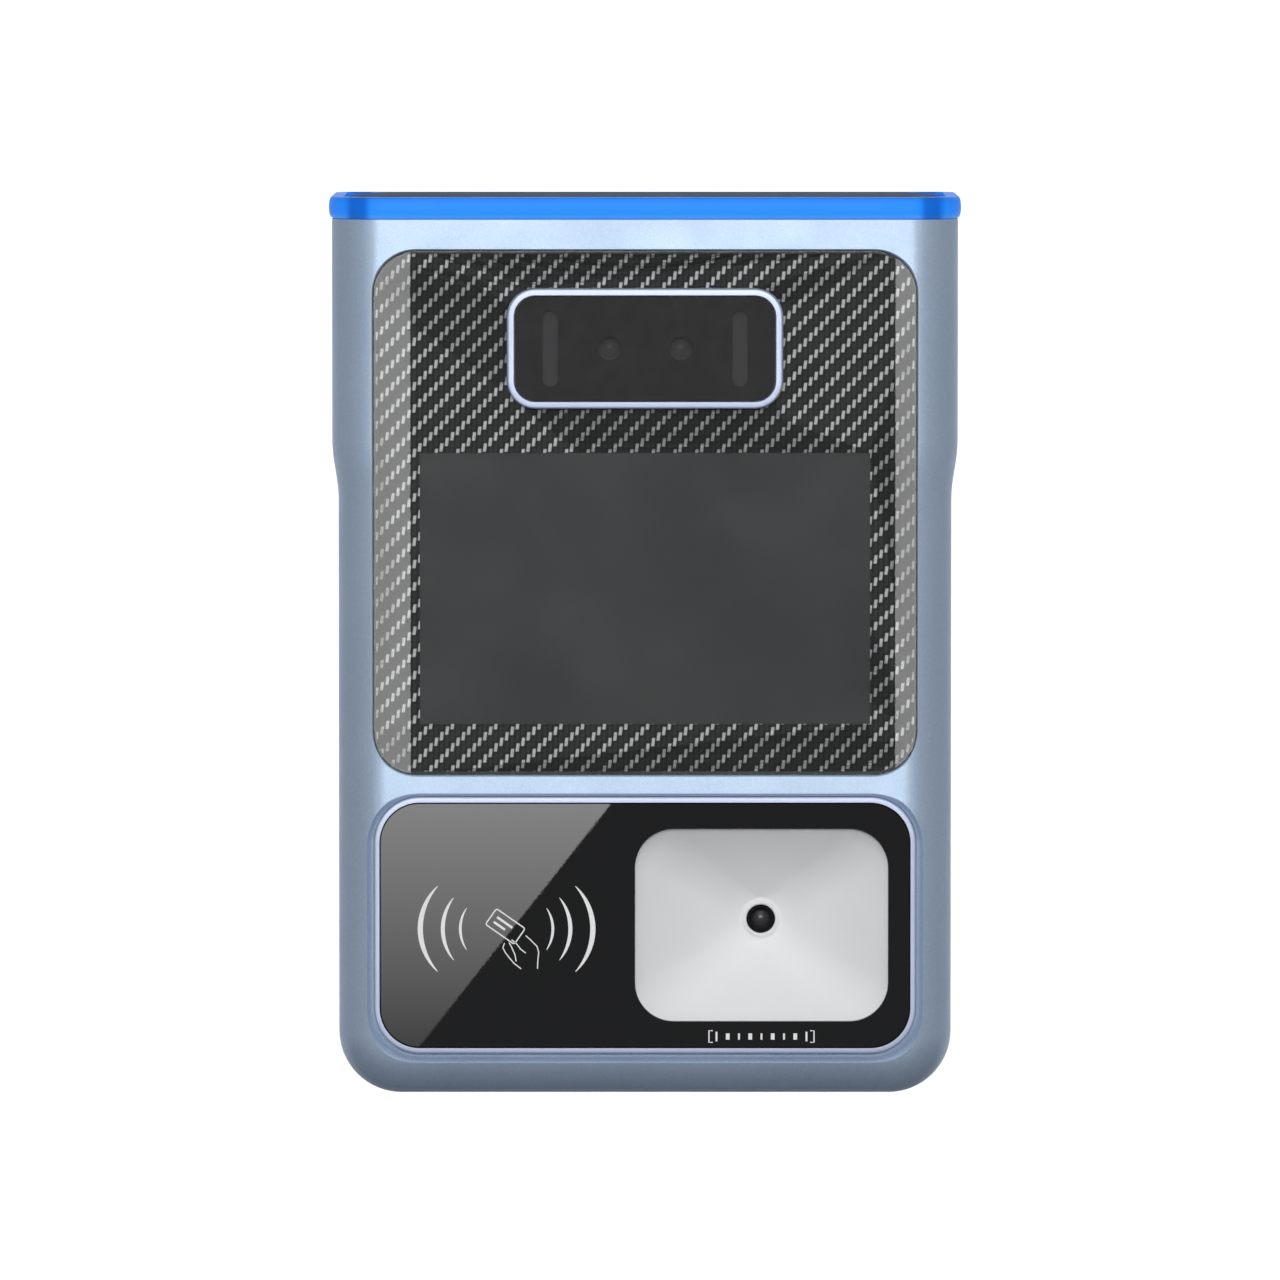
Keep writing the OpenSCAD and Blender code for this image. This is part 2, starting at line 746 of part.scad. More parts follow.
module top_led_board() color(board_green) stand() {
    rise(body_h, body_h + led_board_t)
        difference() {
            polygon(top_plan(led_inset));
            polygon(top_plan(led_inset + led_board_w));
            translate([-head_w, -1]) square([2 * head_w, led_inset + 8]);
        }
    front = body_d + guide_proud - led_line;
    side = head_w / 2 + guide_proud - led_line;
    for (i = [-6 : 6]) led(i * led_pitch, front);
    for (sx = [-1, 1], i = [0 : 3]) led(sx * side, led_side_d + led_w / 2 + led_side_pitch * i);
}

module led(x, d)
    translate([x - led_w / 2, up(body_h + led_board_t), d - led_w / 2]) cube([led_w, led_t, led_w]);

// Cover glass and display

module cover_glass() color([0.35, 0.38, 0.42, 0.5]) stand()
    difference() {
        slab(glass_w, glass_h, glass_r, glass_back, body_d, 0, glass_z);
        slab(cam_w + 2 * trim_gap, cam_h + 2 * trim_gap, cam_r + trim_gap,
            glass_back - 1, body_d + 1, 0, cam_z);
    }

module print_film() color(film_dark) stand()
    difference() {
        slab(glass_w, glass_h, glass_r, film_back, glass_back, 0, glass_z);
        slab(cam_w + 2 * trim_gap, cam_h + 2 * trim_gap, cam_r + trim_gap,
            film_back - 1, glass_back + 1, 0, cam_z);
        block(view_w, view_h, film_back - 1, glass_back + 1, 0, view_z);
    }

module glass_tape() color(part_black) stand() {
    band(glass_w, glass_h, glass_r, tape_w, pocket_d, film_back, 0, glass_z);
    band(cam_w + 2 * trim_gap + 3, cam_h + 2 * trim_gap + 3, cam_r + trim_gap + 1.5, 1.5,
        pocket_d, film_back, 0, cam_z);
}

module lcd_cell() color(display_grey) stand()
    block(lcd_w, lcd_h, cell_back, film_back, 0, view_z);

module lcd_backlight() color(metal) stand()
    difference() {
        block(lcd_w, lcd_h, roof_d, cell_back, 0, view_z);
        for (sx = [-1, 1])
            block(lcd_w / 2 - 14, lcd_h - 16, roof_d - 1, roof_d + 0.4, sx * (lcd_w / 4 - 3), view_z);
    }

module lcd_bracket() color(metal) stand()
    difference() {
        union() {
            slab(lcd_w + 2, lcd_h + 2, 2, roof_d - bracket_t, roof_d, 0, view_z);
            for (sx = [-1, 1])
                slab(16, bracket_h, 3, roof_d - bracket_t, roof_d, sx * bracket_screw_x, view_z);
        }
        for (sx = [-1, 1], sz = [-1, 1])
            rod(tap_r + 0.2, roof_d - 2, roof_d + 1, sx * bracket_screw_x, view_z + sz * bracket_screw_z);
        for (sx = [-1, 1])
            slab(10, lcd_h / 2, 2, roof_d - 2, roof_d + 1, sx * (lcd_w / 2 - 8), view_z);
    }

module display_ribbon() color(copper) stand() {
    block(ribbon_w, ribbon_t, main_front + plug_t, roof_d - bracket_t, 0, ribbon_z);
    block(ribbon_w + 4, 4, roof_d - bracket_t - plug_t, roof_d - bracket_t, 0, ribbon_z);
}

module front_screws() color(metal) stand()
    for (s = front_screw_seats) {
        difference() {
            rod(tap_head_r, s[2] - tap_head_h, s[2], s[0], s[1]);
            for (a = [0, 90])
                translate([s[0], up(s[1]), s[2] - tap_head_h])
                    rotate([0, 0, a]) cube([2.6, 0.6, 1.4], center = true);
        }
        rod(tap_r, s[2] - 0.5, s[2] + tap_l, s[0], s[1]);
    }

// Camera

module camera_trim() color(trim_white) stand()
    difference() {
        slab(cam_w, cam_h, cam_r, pocket_d, cam_front, 0, cam_z);
        slab(cam_w - 2 * cam_band, cam_h - 2 * cam_band, cam_r - cam_band,
            window_back, cam_front + 1, 0, cam_z);
        slab(cam_w - 2 * (cam_band + cam_ledge), cam_h - 2 * (cam_band + cam_ledge),
            cam_r - cam_band - cam_ledge, pocket_d - 1, window_back + 1, 0, cam_z);
    }

module camera_window() color([0.18, 0.18, 0.18, 0.8]) stand()
    slab(cam_w - 2 * cam_band - 0.2, cam_h - 2 * cam_band - 0.2, cam_r - cam_band - 0.1,
        window_back, window_front, 0, cam_z);

module camera_board() color(board_green) stand() {
    difference() {
        block(cam_board_w, cam_board_h, cam_board_d - board_t, cam_board_d, 0, cam_z);
        for (sx = [-1, 1], sz = [-1, 1])
            rod(tap_r + 0.2, cam_board_d - 3, cam_board_d + 1,
                sx * cam_post_x, cam_z + sz * cam_post_z);
    }
    for (sx = [-1, 1], i = [-2 : 2])
        block(2.4, 2.4, cam_board_d, cam_board_d + 1.2, sx * bar_pitch / 2, cam_z + i * 3.4);
}

module camera_barrels() color(part_black) stand()
    for (sx = [-1, 1])
        difference() {
            union() {
                rod(lens_r + 1.2, cam_board_d, roof_d + 2.6, sx * lens_pitch / 2, cam_z);
                block(11, 11, cam_board_d, cam_board_d + 2.4, sx * lens_pitch / 2, cam_z);
            }
            rod(lens_r + seat_fit, roof_d + 1, roof_d + 4, sx * lens_pitch / 2, cam_z);
        }

module camera_lenses() color([0.27, 0.28, 0.33]) stand()
    for (sx = [-1, 1])
        intersection() {
            rod(lens_r, roof_d + 1, roof_d + 3, sx * lens_pitch / 2, cam_z);
            translate([sx * lens_pitch / 2, up(cam_z), roof_d + 2.2 - 2 * lens_r])
                sphere(r = 2 * lens_r);
        }

module fill_light_bars() color([0.55, 0.55, 0.56]) stand()
    for (sx = [-1, 1])
        difference() {
            slab(bar_w, bar_h, bar_end_r, cam_board_d, window_back - 0.3, sx * bar_pitch / 2, cam_z);
            block(bar_w - 1, bar_h - 1, cam_board_d - 1, cam_board_d + 1.6,
                sx * bar_pitch / 2, cam_z);
        }

// Reader

module reader_trim() color(trim_white) stand()
    difference() {
        slab(reader_w, reader_h, reader_r, reader_floor, reader_front, 0, reader_z);
        slab(reader_w - 2 * reader_band, reader_h - 2 * reader_band, reader_r - reader_band,
            reader_back, reader_front + 1, 0, reader_z);
        slab(reader_w - 2 * (reader_band + reader_ledge), reader_h - 2 * (reader_band + reader_ledge),
            reader_r - reader_band - reader_ledge, reader_floor - 1, reader_back + 1, 0, reader_z);
    }

module reader_glass() color(glass_black) stand()
    difference() {
        slab(reader_glass_w, reader_glass_h, reader_glass_r, reader_back, reader_back + reader_t,
            0, reader_z);
        slab(mouth_w, mouth_h, mouth_r, reader_back - 1, reader_back + reader_t + 1, mouth_x, mouth_z);
    }

module ferrite_sheet() color(part_black) stand()
    slab(antenna_w - 4, antenna_h - 4, reader_r - reader_band - reader_ledge, reader_floor,
        antenna_back, antenna_x, reader_z);

module antenna_board() color(board_green) stand()
    slab(antenna_w, antenna_h, reader_r - reader_band - reader_ledge, antenna_back, track_front,
        antenna_x, reader_z);

module antenna_coil() color(copper) stand()
    for (i = [0 : antenna_turns - 1])
        band(antenna_w - 3 - 3.2 * i, antenna_h - 3 - 3.2 * i, 7 - 1.5 * i, track_w,
            track_front, track_front + 0.2, antenna_x, reader_z);

// Scanner

module scan_funnel() color(funnel_white) stand()
    difference() {
        union() {
            hull() {
                slab(mouth_w + 2 * funnel_t, mouth_h + 2 * funnel_t, mouth_r + funnel_t,
                    reader_back - 1.4, reader_back, mouth_x, mouth_z, $fn = 32);
                rod(funnel_floor_r + funnel_t, funnel_back, funnel_back + 1, mouth_x, mouth_z, $fn = 32);
            }
            slab(mouth_w + 2 * flange_w, mouth_h + 2 * flange_w, mouth_r + flange_w,
                roof_d - flange_t, roof_d, mouth_x, mouth_z);
            for (sx = [-1, 1], sz = [-1, 1])
                rod(ear_r, roof_d - flange_t, roof_d, mouth_x + sx * ear_x, mouth_z + sz * ear_z);
        }
        difference() {
            hull() {
                slab(mouth_w, mouth_h, mouth_r, reader_back, reader_back + 1, mouth_x, mouth_z, $fn = 32);
                rod(funnel_floor_r, funnel_floor, funnel_floor + 0.1, mouth_x, mouth_z, $fn = 32);
            }
            rod(barrel_r + 0.9, funnel_floor - 1, funnel_floor + 0.8, mouth_x, mouth_z);
        }
        rod(barrel_r + 0.1, funnel_back - 1, funnel_floor + 2, mouth_x, mouth_z);
        for (sx = [-1, 1], sz = [-1, 1])
            rod(tap_r + 0.2, roof_d - 3, roof_d + 1, mouth_x + sx * ear_x, mouth_z + sz * ear_z);
    }

module scan_engine() color(part_black) stand() {
    difference() {
        slab(engine_w, engine_h, 1.5, funnel_back - engine_t, funnel_back, mouth_x, mouth_z);
        rod(barrel_r + seat_fit, funnel_back - 3, funnel_back + 1, mouth_x, mouth_z);
    }
    block(12, 3, funnel_back - engine_t - 2, funnel_back - engine_t, mouth_x, mouth_z - 5);
}

module scan_barrel() color(part_black) stand()
    difference() {
        rod(barrel_r, funnel_back - 3, funnel_floor + 0.5, mouth_x, mouth_z);
        rod(eye_r + 0.6, funnel_floor - 0.4, funnel_floor + 2, mouth_x, mouth_z);
        rod(eye_r + seat_fit, funnel_floor - 2, funnel_floor, mouth_x, mouth_z);
    }

module scan_lens() color([0.22, 0.24, 0.28]) stand()
    intersection() {
        rod(eye_r, funnel_floor - 2, funnel_floor + 1, mouth_x, mouth_z);
        translate([mouth_x, up(mouth_z), funnel_floor - 2 * eye_r]) sphere(r = 2 * eye_r);
    }

// Boards

module main_board() color(board_green) stand()
    difference() {
        slab(main_w, main_h, 2, main_d, main_front, 0, main_z);
        for (sx = [-1, 1], sz = [-1, 1])
            rod(board_hole_r, main_d - 1, main_front + 1, sx * standoff_x, main_z + sz * standoff_z);
    }

// Width, height, thickness and place of each part soldered on the main board
chips = [
    [soc_w, soc_w, soc_t, soc_at[0], soc_at[1]],
    [14, 12, 1.2, -16, main_z + 26],
    [14, 12, 1.2, -16, main_z + 10],
    [28, 24, 2.4, -18, main_z - 12],
    [10, 10, 4, 34, main_z - 6],
    [10, 10, 4, 34, main_z - 20],
    [22, 6, 5, -16, main_z0 + 6],
    [26, 6, 5, 18, main_z0 + 6]
];

module board_chips() color(part_black) stand() {
    for (c = chips) block(c[0], c[1], main_front, main_front + c[2], c[3], c[4]);
    block(ribbon_w + 4, 4, main_front, main_front + plug_t, 0, ribbon_z);
}

module heat_sink() color(metal) stand() {
    base = main_front + soc_t;
    block(soc_w + 6, soc_w + 6, base, base + 2, soc_at[0], soc_at[1]);
    for (i = [-3 : 3])
        block(1.4, soc_w + 6, base + 1.5, base + 7, soc_at[0] + i * 5, soc_at[1]);
}

module board_standoffs() color(brass) stand()
    for (sx = [-1, 1], sz = [-1, 1])
        difference() {
            rod(standoff_r, wall, main_d, sx * standoff_x, main_z + sz * standoff_z, $fn = 6);
            rod(standoff_hole_r, main_d - 6, main_d + 1, sx * standoff_x, main_z + sz * standoff_z);
        }

module board_screw(front, x, z) {
    difference() {
        rod(2.5, front, front + 1.7, x, z);
        for (a = [0, 90])
            translate([x, up(z), front + 1.7]) rotate([0, 0, a]) cube([3, 0.6, 1.4], center = true);
    }
    rod(board_screw_r, front - 5, front + 0.5, x, z);
}

module board_screws() color(metal) stand() {
    for (sx = [-1, 1], sz = [-1, 1]) {
        board_screw(main_front, sx * standoff_x, main_z + sz * standoff_z);
        board_screw(service_d + board_t, sx * post_x, bay_z + sz * post_z);
    }
}

module battery_pack() color([0.20, 0.32, 0.55]) stand()
    slab(60, 40, 2.5, roof_d - bracket_t - 7, roof_d - bracket_t, -lcd_w / 8, view_z + 6);

module speaker() color(part_black) stand() {
    bottom = up(wall);
    translate([speaker_x - speaker_w / 2, bottom, speaker_mid - speaker_d / 2])
        difference() {
            cube([speaker_w, speaker_h, speaker_d]);
            translate([4, -1, 2.5]) cube([speaker_w - 8, 3, speaker_d - 5]);
        }
    translate([speaker_x, bottom + 0.6, speaker_mid])
        rotate([-90, 0, 0]) cylinder(h = 2, r = speaker_d / 2 - 3);
}

module vent_plug() color(part_black) stand()
    translate([vent_x, up(0), vent_mid]) rotate([-90, 0, 0]) {
        translate([0, 0, 0.2]) cylinder(h = 1.3, r = vent_head_r);
        translate([0, 0, 1]) cylinder(h = wall + 1, r = vent_r);
        translate([0, 0, wall]) cylinder(h = 1.6, r = vent_r + 1.6);
    }

// Rear interfaces

module rear_socket() color(metal) stand()
    difference() {
        union() {
            rod(socket_r, 2, recess_d, 0, mount_h);
            rod(socket_r + 3, recess_d - 2, recess_d, 0, mount_h);
            rod(socket_r - 0.4, recess_d - 1, recess_d + 7, 0, mount_h);
        }
        rod(socket_bore_r, 1, recess_d - 2, 0, mount_h);
        for (a = [0 : 72 : 359])
            rotate([0, 0, a]) rod(0.5 + seat_fit, recess_d - 3, recess_d, 3, mount_h);
    }

module socket_pins() color(brass) stand()
    for (a = [0 : 72 : 359])
        rotate([0, 0, a]) rod(0.5, recess_d - 5.2, recess_d, 3, mount_h);

module socket_nut() color(metal) stand()
    difference() {
        rod(9, recess_d + 2, recess_d + 4.5, 0, mount_h, $fn = 6);
        rod(socket_r - 0.4 + seat_fit, recess_d + 1, recess_d + 6, 0, mount_h);
    }

module mount_inserts() color(brass) stand()
    for (sx = [-1, 1], sy = [-1, 1])
        difference() {
            rod(insert_r, 0, insert_l - 0.02, sx * mount_pitch / 2, mount_h + sy * mount_pitch / 2);
            rod(mount_r, -1, insert_l - 0.8, sx * mount_pitch / 2, mount_h + sy * mount_pitch / 2);
        }

module rating_plate() color([0.80, 0.81, 0.82]) stand()
    slab(plate_w, plate_h, 2, 0.05, plate_t + 0.05, 0, plate_z);

// Service bay

function knuckle_x(i) = -hinge_span / 2 + i * (knuckle_l + hinge_gap);

module knuckle(i) {
    translate([knuckle_x(i), up(hinge_z), knuckle_r])
        rotate([0, 90, 0]) cylinder(h = knuckle_l, r = knuckle_r);
}

module pin_bar(r, l) {
    translate([0, up(hinge_z), knuckle_r]) rotate([0, 90, 0]) cylinder(h = l, r = r, center = true);
}

module door_seal() color(rubber_black) stand() {
    seal_low = door_low - door_gap + hinge_room + 1;
    seal_h = door_top - 0.6 - seal_low;
    seal_z = seal_low + seal_h / 2;
    difference() {
        slab(door_w - 1.6, seal_h, 2, door_t + 0.1, seat_d, 0, seal_z);
        slab(bay_w + 1, bay_h + 1, 1, door_t - 1, seat_d + 1, 0, bay_z);
    }
}

module hinge_pin() color(metal) stand() pin_bar(pin_r, hinge_span);

module service_board() color(board_green) stand()
    difference() {
        slab(service_w, service_h, 1.5, service_d, service_d + board_t, 0, bay_z);
        for (sx = [-1, 1], sz = [-1, 1])
            rod(board_hole_r, service_d - 1, service_d + 3, sx * post_x, bay_z + sz * post_z);
    }

module card_sockets() color(metal) stand()
    for (sx = [-1, 1])
        difference() {
            block(card_w, card_h, service_d - 2.8, service_d, sx * card_x, card_z);
            block(card_w - 4, card_h - 5, service_d - 4, service_d - 1.6, sx * card_x, card_z);
        }

module usb_port() color(metal) stand()
    difference() {
        block(12, 5, bay_d - 1.6, service_d, usb_at[0], usb_at[1]);
        block(10.8, 3.8, bay_d - 3, service_d - 1, usb_at[0], usb_at[1]);
    }

module button_switches() color(part_black) stand()
    for (at = [power_at, reset_at])
        difference() {
            block(switch_w, switch_w, service_d - switch_t, service_d, at[0], at[1]);
            rod(stem_r + run_fit, service_d - switch_t - 1, service_d - 1.2, at[0], at[1]);
        }

module button(r, at) {
    flange_d = bay_floor + 0.2;
    rod(r, bay_d - button_proud, flange_d + 0.3, at[0], at[1]);
    rod(r + 1, flange_d, service_d - switch_t - button_travel - 0.2, at[0], at[1]);
    rod(stem_r, flange_d, service_d - switch_t + 0.4, at[0], at[1]);
}

module power_button() color([0.15, 0.60, 0.35]) stand() button(power_r, power_at);

module reset_button() color([0.75, 0.16, 0.14]) stand() button(reset_r, reset_at);

module service_door() color(body_blue) stand()
    difference() {
        union() {
            difference() {
                slab(door_w, door_h, 3, 0, door_t, 0, door_z);
                block(door_w + 2, hinge_z - door_low + 1, -1, door_t + 1,
                    0, hinge_z - (hinge_z - door_low + 1) / 2);
            }
            for (i = [0 : 2 : hinge_parts - 1]) knuckle(i);
        }
        for (i = [1 : 2 : hinge_parts - 2])
            translate([knuckle_x(i) - hinge_gap, up(hinge_z) - 1, -1])
                cube([knuckle_l + 2 * hinge_gap, knuckle_r + 1.4, door_t + 2]);
        pin_bar(pin_r + run_fit, hinge_span + 4);
        rod(lock_r + seat_fit, -1, door_t + 1, 0, lock_z);
        rod(lock_flange_r + seat_fit, -1, lock_flange_t, 0, lock_z);
    }

module lock_body() color(metal) stand()
    difference() {
        union() {
            rod(lock_flange_r, 0.05, lock_flange_t, 0, lock_z);
            rod(lock_r, 0.5, lock_back, 0, lock_z);
        }
        rod(plug_r + run_fit, -1, lock_back + 1, 0, lock_z);
    }

module lock_nut() color(metal) stand()
    difference() {
        rod(lock_nut_r, door_t, door_t + 2.2, 0, lock_z, $fn = 6);
        rod(lock_r + seat_fit, door_t - 1, door_t + 4, 0, lock_z);
    }

module lock_plug() color(metal) stand() {
    difference() {
        rod(plug_r, 0.3, lock_back, 0, lock_z);
        block(5, 1.2, -1, 2.5, 0, lock_z);
    }
    block(tail_w, tail_w, lock_back - 0.5, cam_d + cam_t, 0, lock_z);
}

module lock_cam() color(metal) stand()
    difference() {
        union() {
            rod(cam_w_half + 1.4, cam_d, cam_d + cam_t, 0, lock_z);
            block(cam_reach, 2 * cam_w_half, cam_d, cam_d + cam_t, cam_reach / 2, lock_z);
        }
        block(tail_w + 0.1, tail_w + 0.1, cam_d - 1, cam_d + cam_t + 1, 0, lock_z);
    }

module cam_screw() color(metal) stand()
    difference() {
        rod(4, cam_d + cam_t, cam_d + cam_t + 1.6, 0, lock_z);
        for (a = [0, 90])
            translate([0, up(lock_z), cam_d + cam_t + 1.6])
                rotate([0, 0, a]) cube([4, 0.8, 1.4], center = true);
    }

front_housing();
rear_housing();
housing_gasket();
housing_screws();
housing_inserts();
light_guide();
top_cap();
cap_screws();
top_led_board();
cover_glass();
print_film();
glass_tape();
lcd_cell();
lcd_backlight();
lcd_bracket();
display_ribbon();
front_screws();
camera_trim();
camera_window();
camera_board();
camera_barrels();
camera_lenses();
fill_light_bars();
reader_trim();
reader_glass();
ferrite_sheet();
antenna_board();
antenna_coil();
scan_funnel();
scan_engine();
scan_barrel();
scan_lens();
main_board();
board_chips();
heat_sink();
board_standoffs();
board_screws();
battery_pack();
speaker();
vent_plug();
rear_socket();
socket_pins();
socket_nut();
mount_inserts();
rating_plate();
door_seal();
hinge_pin();
service_board();
card_sockets();
usb_port();
button_switches();
service_door();
lock_body();
lock_nut();
lock_plug();
lock_cam();
cam_screw();
power_button();
reset_button();
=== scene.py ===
"""Ticket validator terminal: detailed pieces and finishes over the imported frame."""
import json
import logging
import math
from dataclasses import dataclass, field
from enum import Enum

import bmesh
import bpy
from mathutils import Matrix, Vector

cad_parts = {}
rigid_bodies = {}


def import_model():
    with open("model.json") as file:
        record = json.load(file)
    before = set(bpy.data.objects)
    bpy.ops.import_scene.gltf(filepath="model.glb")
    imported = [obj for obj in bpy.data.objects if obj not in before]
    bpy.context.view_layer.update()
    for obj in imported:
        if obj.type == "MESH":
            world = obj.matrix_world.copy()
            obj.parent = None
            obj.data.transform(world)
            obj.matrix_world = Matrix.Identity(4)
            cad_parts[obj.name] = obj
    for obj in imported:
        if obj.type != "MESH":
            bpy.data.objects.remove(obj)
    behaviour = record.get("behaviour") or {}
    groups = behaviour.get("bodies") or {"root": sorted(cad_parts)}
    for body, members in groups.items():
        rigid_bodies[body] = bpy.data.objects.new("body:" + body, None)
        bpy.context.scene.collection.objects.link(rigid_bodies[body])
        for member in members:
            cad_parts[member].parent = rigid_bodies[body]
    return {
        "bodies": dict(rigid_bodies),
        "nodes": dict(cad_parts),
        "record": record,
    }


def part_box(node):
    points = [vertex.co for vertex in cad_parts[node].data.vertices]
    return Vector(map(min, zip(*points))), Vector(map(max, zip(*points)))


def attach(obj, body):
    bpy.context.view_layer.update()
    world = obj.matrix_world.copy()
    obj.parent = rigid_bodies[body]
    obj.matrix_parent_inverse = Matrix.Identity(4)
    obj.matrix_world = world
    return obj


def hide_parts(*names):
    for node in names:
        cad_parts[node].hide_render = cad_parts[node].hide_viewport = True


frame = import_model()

MM = 0.001
WHITE = (1.0, 1.0, 1.0)
log = logging.getLogger("terminal")

Rgb = tuple[float, float, float]
Spot = tuple[float, float, float, float]
Profile = list[tuple[float, float]]


class Grain(Enum):
    """How far the marks of a finish are squeezed along each axis."""

    EVEN = (1.0, 1.0, 1.0)
    ALONG_X = (0.03, 1.0, 1.0)
    ALONG_Z = (1.0, 1.0, 0.03)


class Turn(Enum):
    """The axis that a turned piece is centred on."""

    DEPTH = "y"
    HEIGHT = "z"


# ---------------------------------------------------------------- sizes

# Millimetres. FIT is the gap round a seated piece, PAST is how far a cutter runs on, POLE is the smallest
# radius of a turned row, and BEVEL is the broken edge of a glass's opening.
GLASS_CORNER = 10.4
RING_CORNER = 11.0
MOUTH_WIDE = 60.7
MOUTH_TALL = 46.2
MOUTH_CORNER = 9.3
FIT = 0.15
PAST = 1.0
POLE = 0.05
BEVEL = 0.2


@dataclass(frozen=True)
class Span:
    """The extent of a node in millimetres."""

    x0: float
    x1: float
    y0: float
    y1: float
    z0: float
    z1: float

    @classmethod
    def of(cls, node: str) -> "Span":
        """Measures a CAD node, by its name."""
        low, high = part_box(node)
        return cls(*[v / MM for pair in zip(low, high) for v in pair])

    @property
    def wide(self) -> float:
        """Width along X."""
        return self.x1 - self.x0

    @property
    def tall(self) -> float:
        """Height along Z."""
        return self.z1 - self.z0

    @property
    def mid_x(self) -> float:
        """Middle along X."""
        return (self.x0 + self.x1) / 2

    @property
    def mid_y(self) -> float:
        """Middle along Y."""
        return (self.y0 + self.y1) / 2

    @property
    def mid_z(self) -> float:
        """Middle along Z."""
        return (self.z0 + self.z1) / 2

    def outline(self, radius: float, room: float = 0.0, steps: int = 12) -> list["Spot"]:
        """Lays out the front view of the node with round corners.

        Args:
            radius: Corner radius.
            room: How far outside the node.
            steps: Steps in each corner.

        Returns:
            The outline.
        """
        return round_rect(self.wide + 2 * room, self.tall + 2 * room, radius, self.mid_x, self.mid_z, steps)


# ---------------------------------------------------------------- finishes


def tone(red: float, green: float, blue: float) -> Rgb:
    """Turns a display colour into a linear one.

    Args:
        red: Red, from 0 to 1.
        green: Green, from 0 to 1.
        blue: Blue, from 0 to 1.

    Returns:
        The linear colour.
    """
    return tuple(c / 12.92 if c <= 0.04045 else ((c + 0.055) / 1.055) ** 2.4
                 for c in (red, green, blue))


def grey(level: float) -> Rgb:
    """Turns a display grey into a linear colour."""
    return tone(level, level, level)


class Graph:
    """Wires the shader nodes of one material."""

    def __init__(self, name: str) -> None:
        """Starts an empty material.

        Args:
            name: The material's name.
        """
        self.material = bpy.data.materials.new(name)
        self.material.use_nodes = True
        self.tree = self.material.node_tree
        self.tree.nodes.clear()
        self.out = self.tree.nodes.new("ShaderNodeOutputMaterial")

    def put(self, kind: str, inputs: dict | None = None, **attributes) -> bpy.types.Node:
        """Adds a node.

        Args:
            kind: The node's type, without the usual prefix.
            inputs: Values or sockets by input name or number.
            **attributes: Settings of the node.

        Returns:
            The node.
        """
        node = self.tree.nodes.new("ShaderNode" + kind)
        for key, value in attributes.items():
            setattr(node, key, value)
        for key, value in (inputs or {}).items():
            socket = node.inputs[key]
            if isinstance(value, bpy.types.NodeSocket):
                self.tree.links.new(value, socket)
            elif socket.type == "RGBA" and len(value) == 3:
                socket.default_value = (*value, 1.0)
            else:
                socket.default_value = value
        return node

    def place(self, stretch: tuple[float, float, float] = (1.0, 1.0, 1.0)) -> bpy.types.NodeSocket:
        """Gives the position on the piece in millimetres.

        Args:
            stretch: A further scale along each axis.

        Returns:
            The vector socket.
        """
        at = self.put("TexCoord").outputs["Object"]
        scale = tuple(s / MM for s in stretch)
        return self.put("Mapping", {"Vector": at, "Scale": scale}).outputs[0]

    def noise(self, at: bpy.types.NodeSocket, size: float, detail: float = 2.0) -> bpy.types.NodeSocket:
        """Gives a soft random value of about 0.2 to 0.8, with marks of a size in millimetres."""
        return self.put("TexNoise", {"Vector": at, "Scale": 1.0 / size, "Detail": detail}).outputs[0]

    def sum(self, kind: str, a: object, b: object = 0.0) -> bpy.types.NodeSocket:
        """Does a piece of arithmetic on one or two values or sockets."""
        return self.put("Math", {0: a, 1: b}, operation=kind).outputs[0]

    def axes(self, at: bpy.types.NodeSocket) -> bpy.types.bpy_prop_collection:
        """Splits a vector into its three sockets."""
        return self.put("SeparateXYZ", {0: at}).outputs

    def upright(self, at: bpy.types.NodeSocket) -> bpy.types.NodeSocket:
        """Turns a position, so that a flat pattern stands on the front."""
        return self.put("Mapping", {"Vector": at, "Rotation": (math.pi / 2, 0, 0)}).outputs[0]

    def remap(self, value: object, f0: float, f1: float, t0: float, t1: float,
              soft: bool = False) -> bpy.types.NodeSocket:
        """Maps a value from one range to another, clamped.

        Args:
            value: The socket.
            f0: Start of the first range.
            f1: End of the first range.
            t0: Start of the second range.
            t1: End of the second range.
            soft: Ease in and out.

        Returns:
            The mapped value's socket.
        """
        return self.put("MapRange", {"Value": value, "From Min": f0, "From Max": f1, "To Min": t0,
                                     "To Max": t1},
                        interpolation_type="SMOOTHSTEP" if soft else "LINEAR").outputs[0]

    def blend(self, factor: object, a: object, b: object) -> bpy.types.NodeSocket:
        """Mixes two colours, by how much there is of the second."""
        return self.put("Mix", {0: factor, 6: a, 7: b}, data_type="RGBA").outputs[2]

    def relief(self, height: object, depth: float) -> bpy.types.NodeSocket:
        """Turns a height from 0 to 1 into a bumped normal, with its depth in millimetres."""
        return self.put("Bump", {"Strength": 1.0, "Distance": depth * MM, "Height": height}).outputs[0]

    def close(self, shader: bpy.types.NodeSocket) -> bpy.types.Material:
        """Connects the last shader, and gives the finished material."""
        self.tree.links.new(shader, self.out.inputs["Surface"])
        return self.material


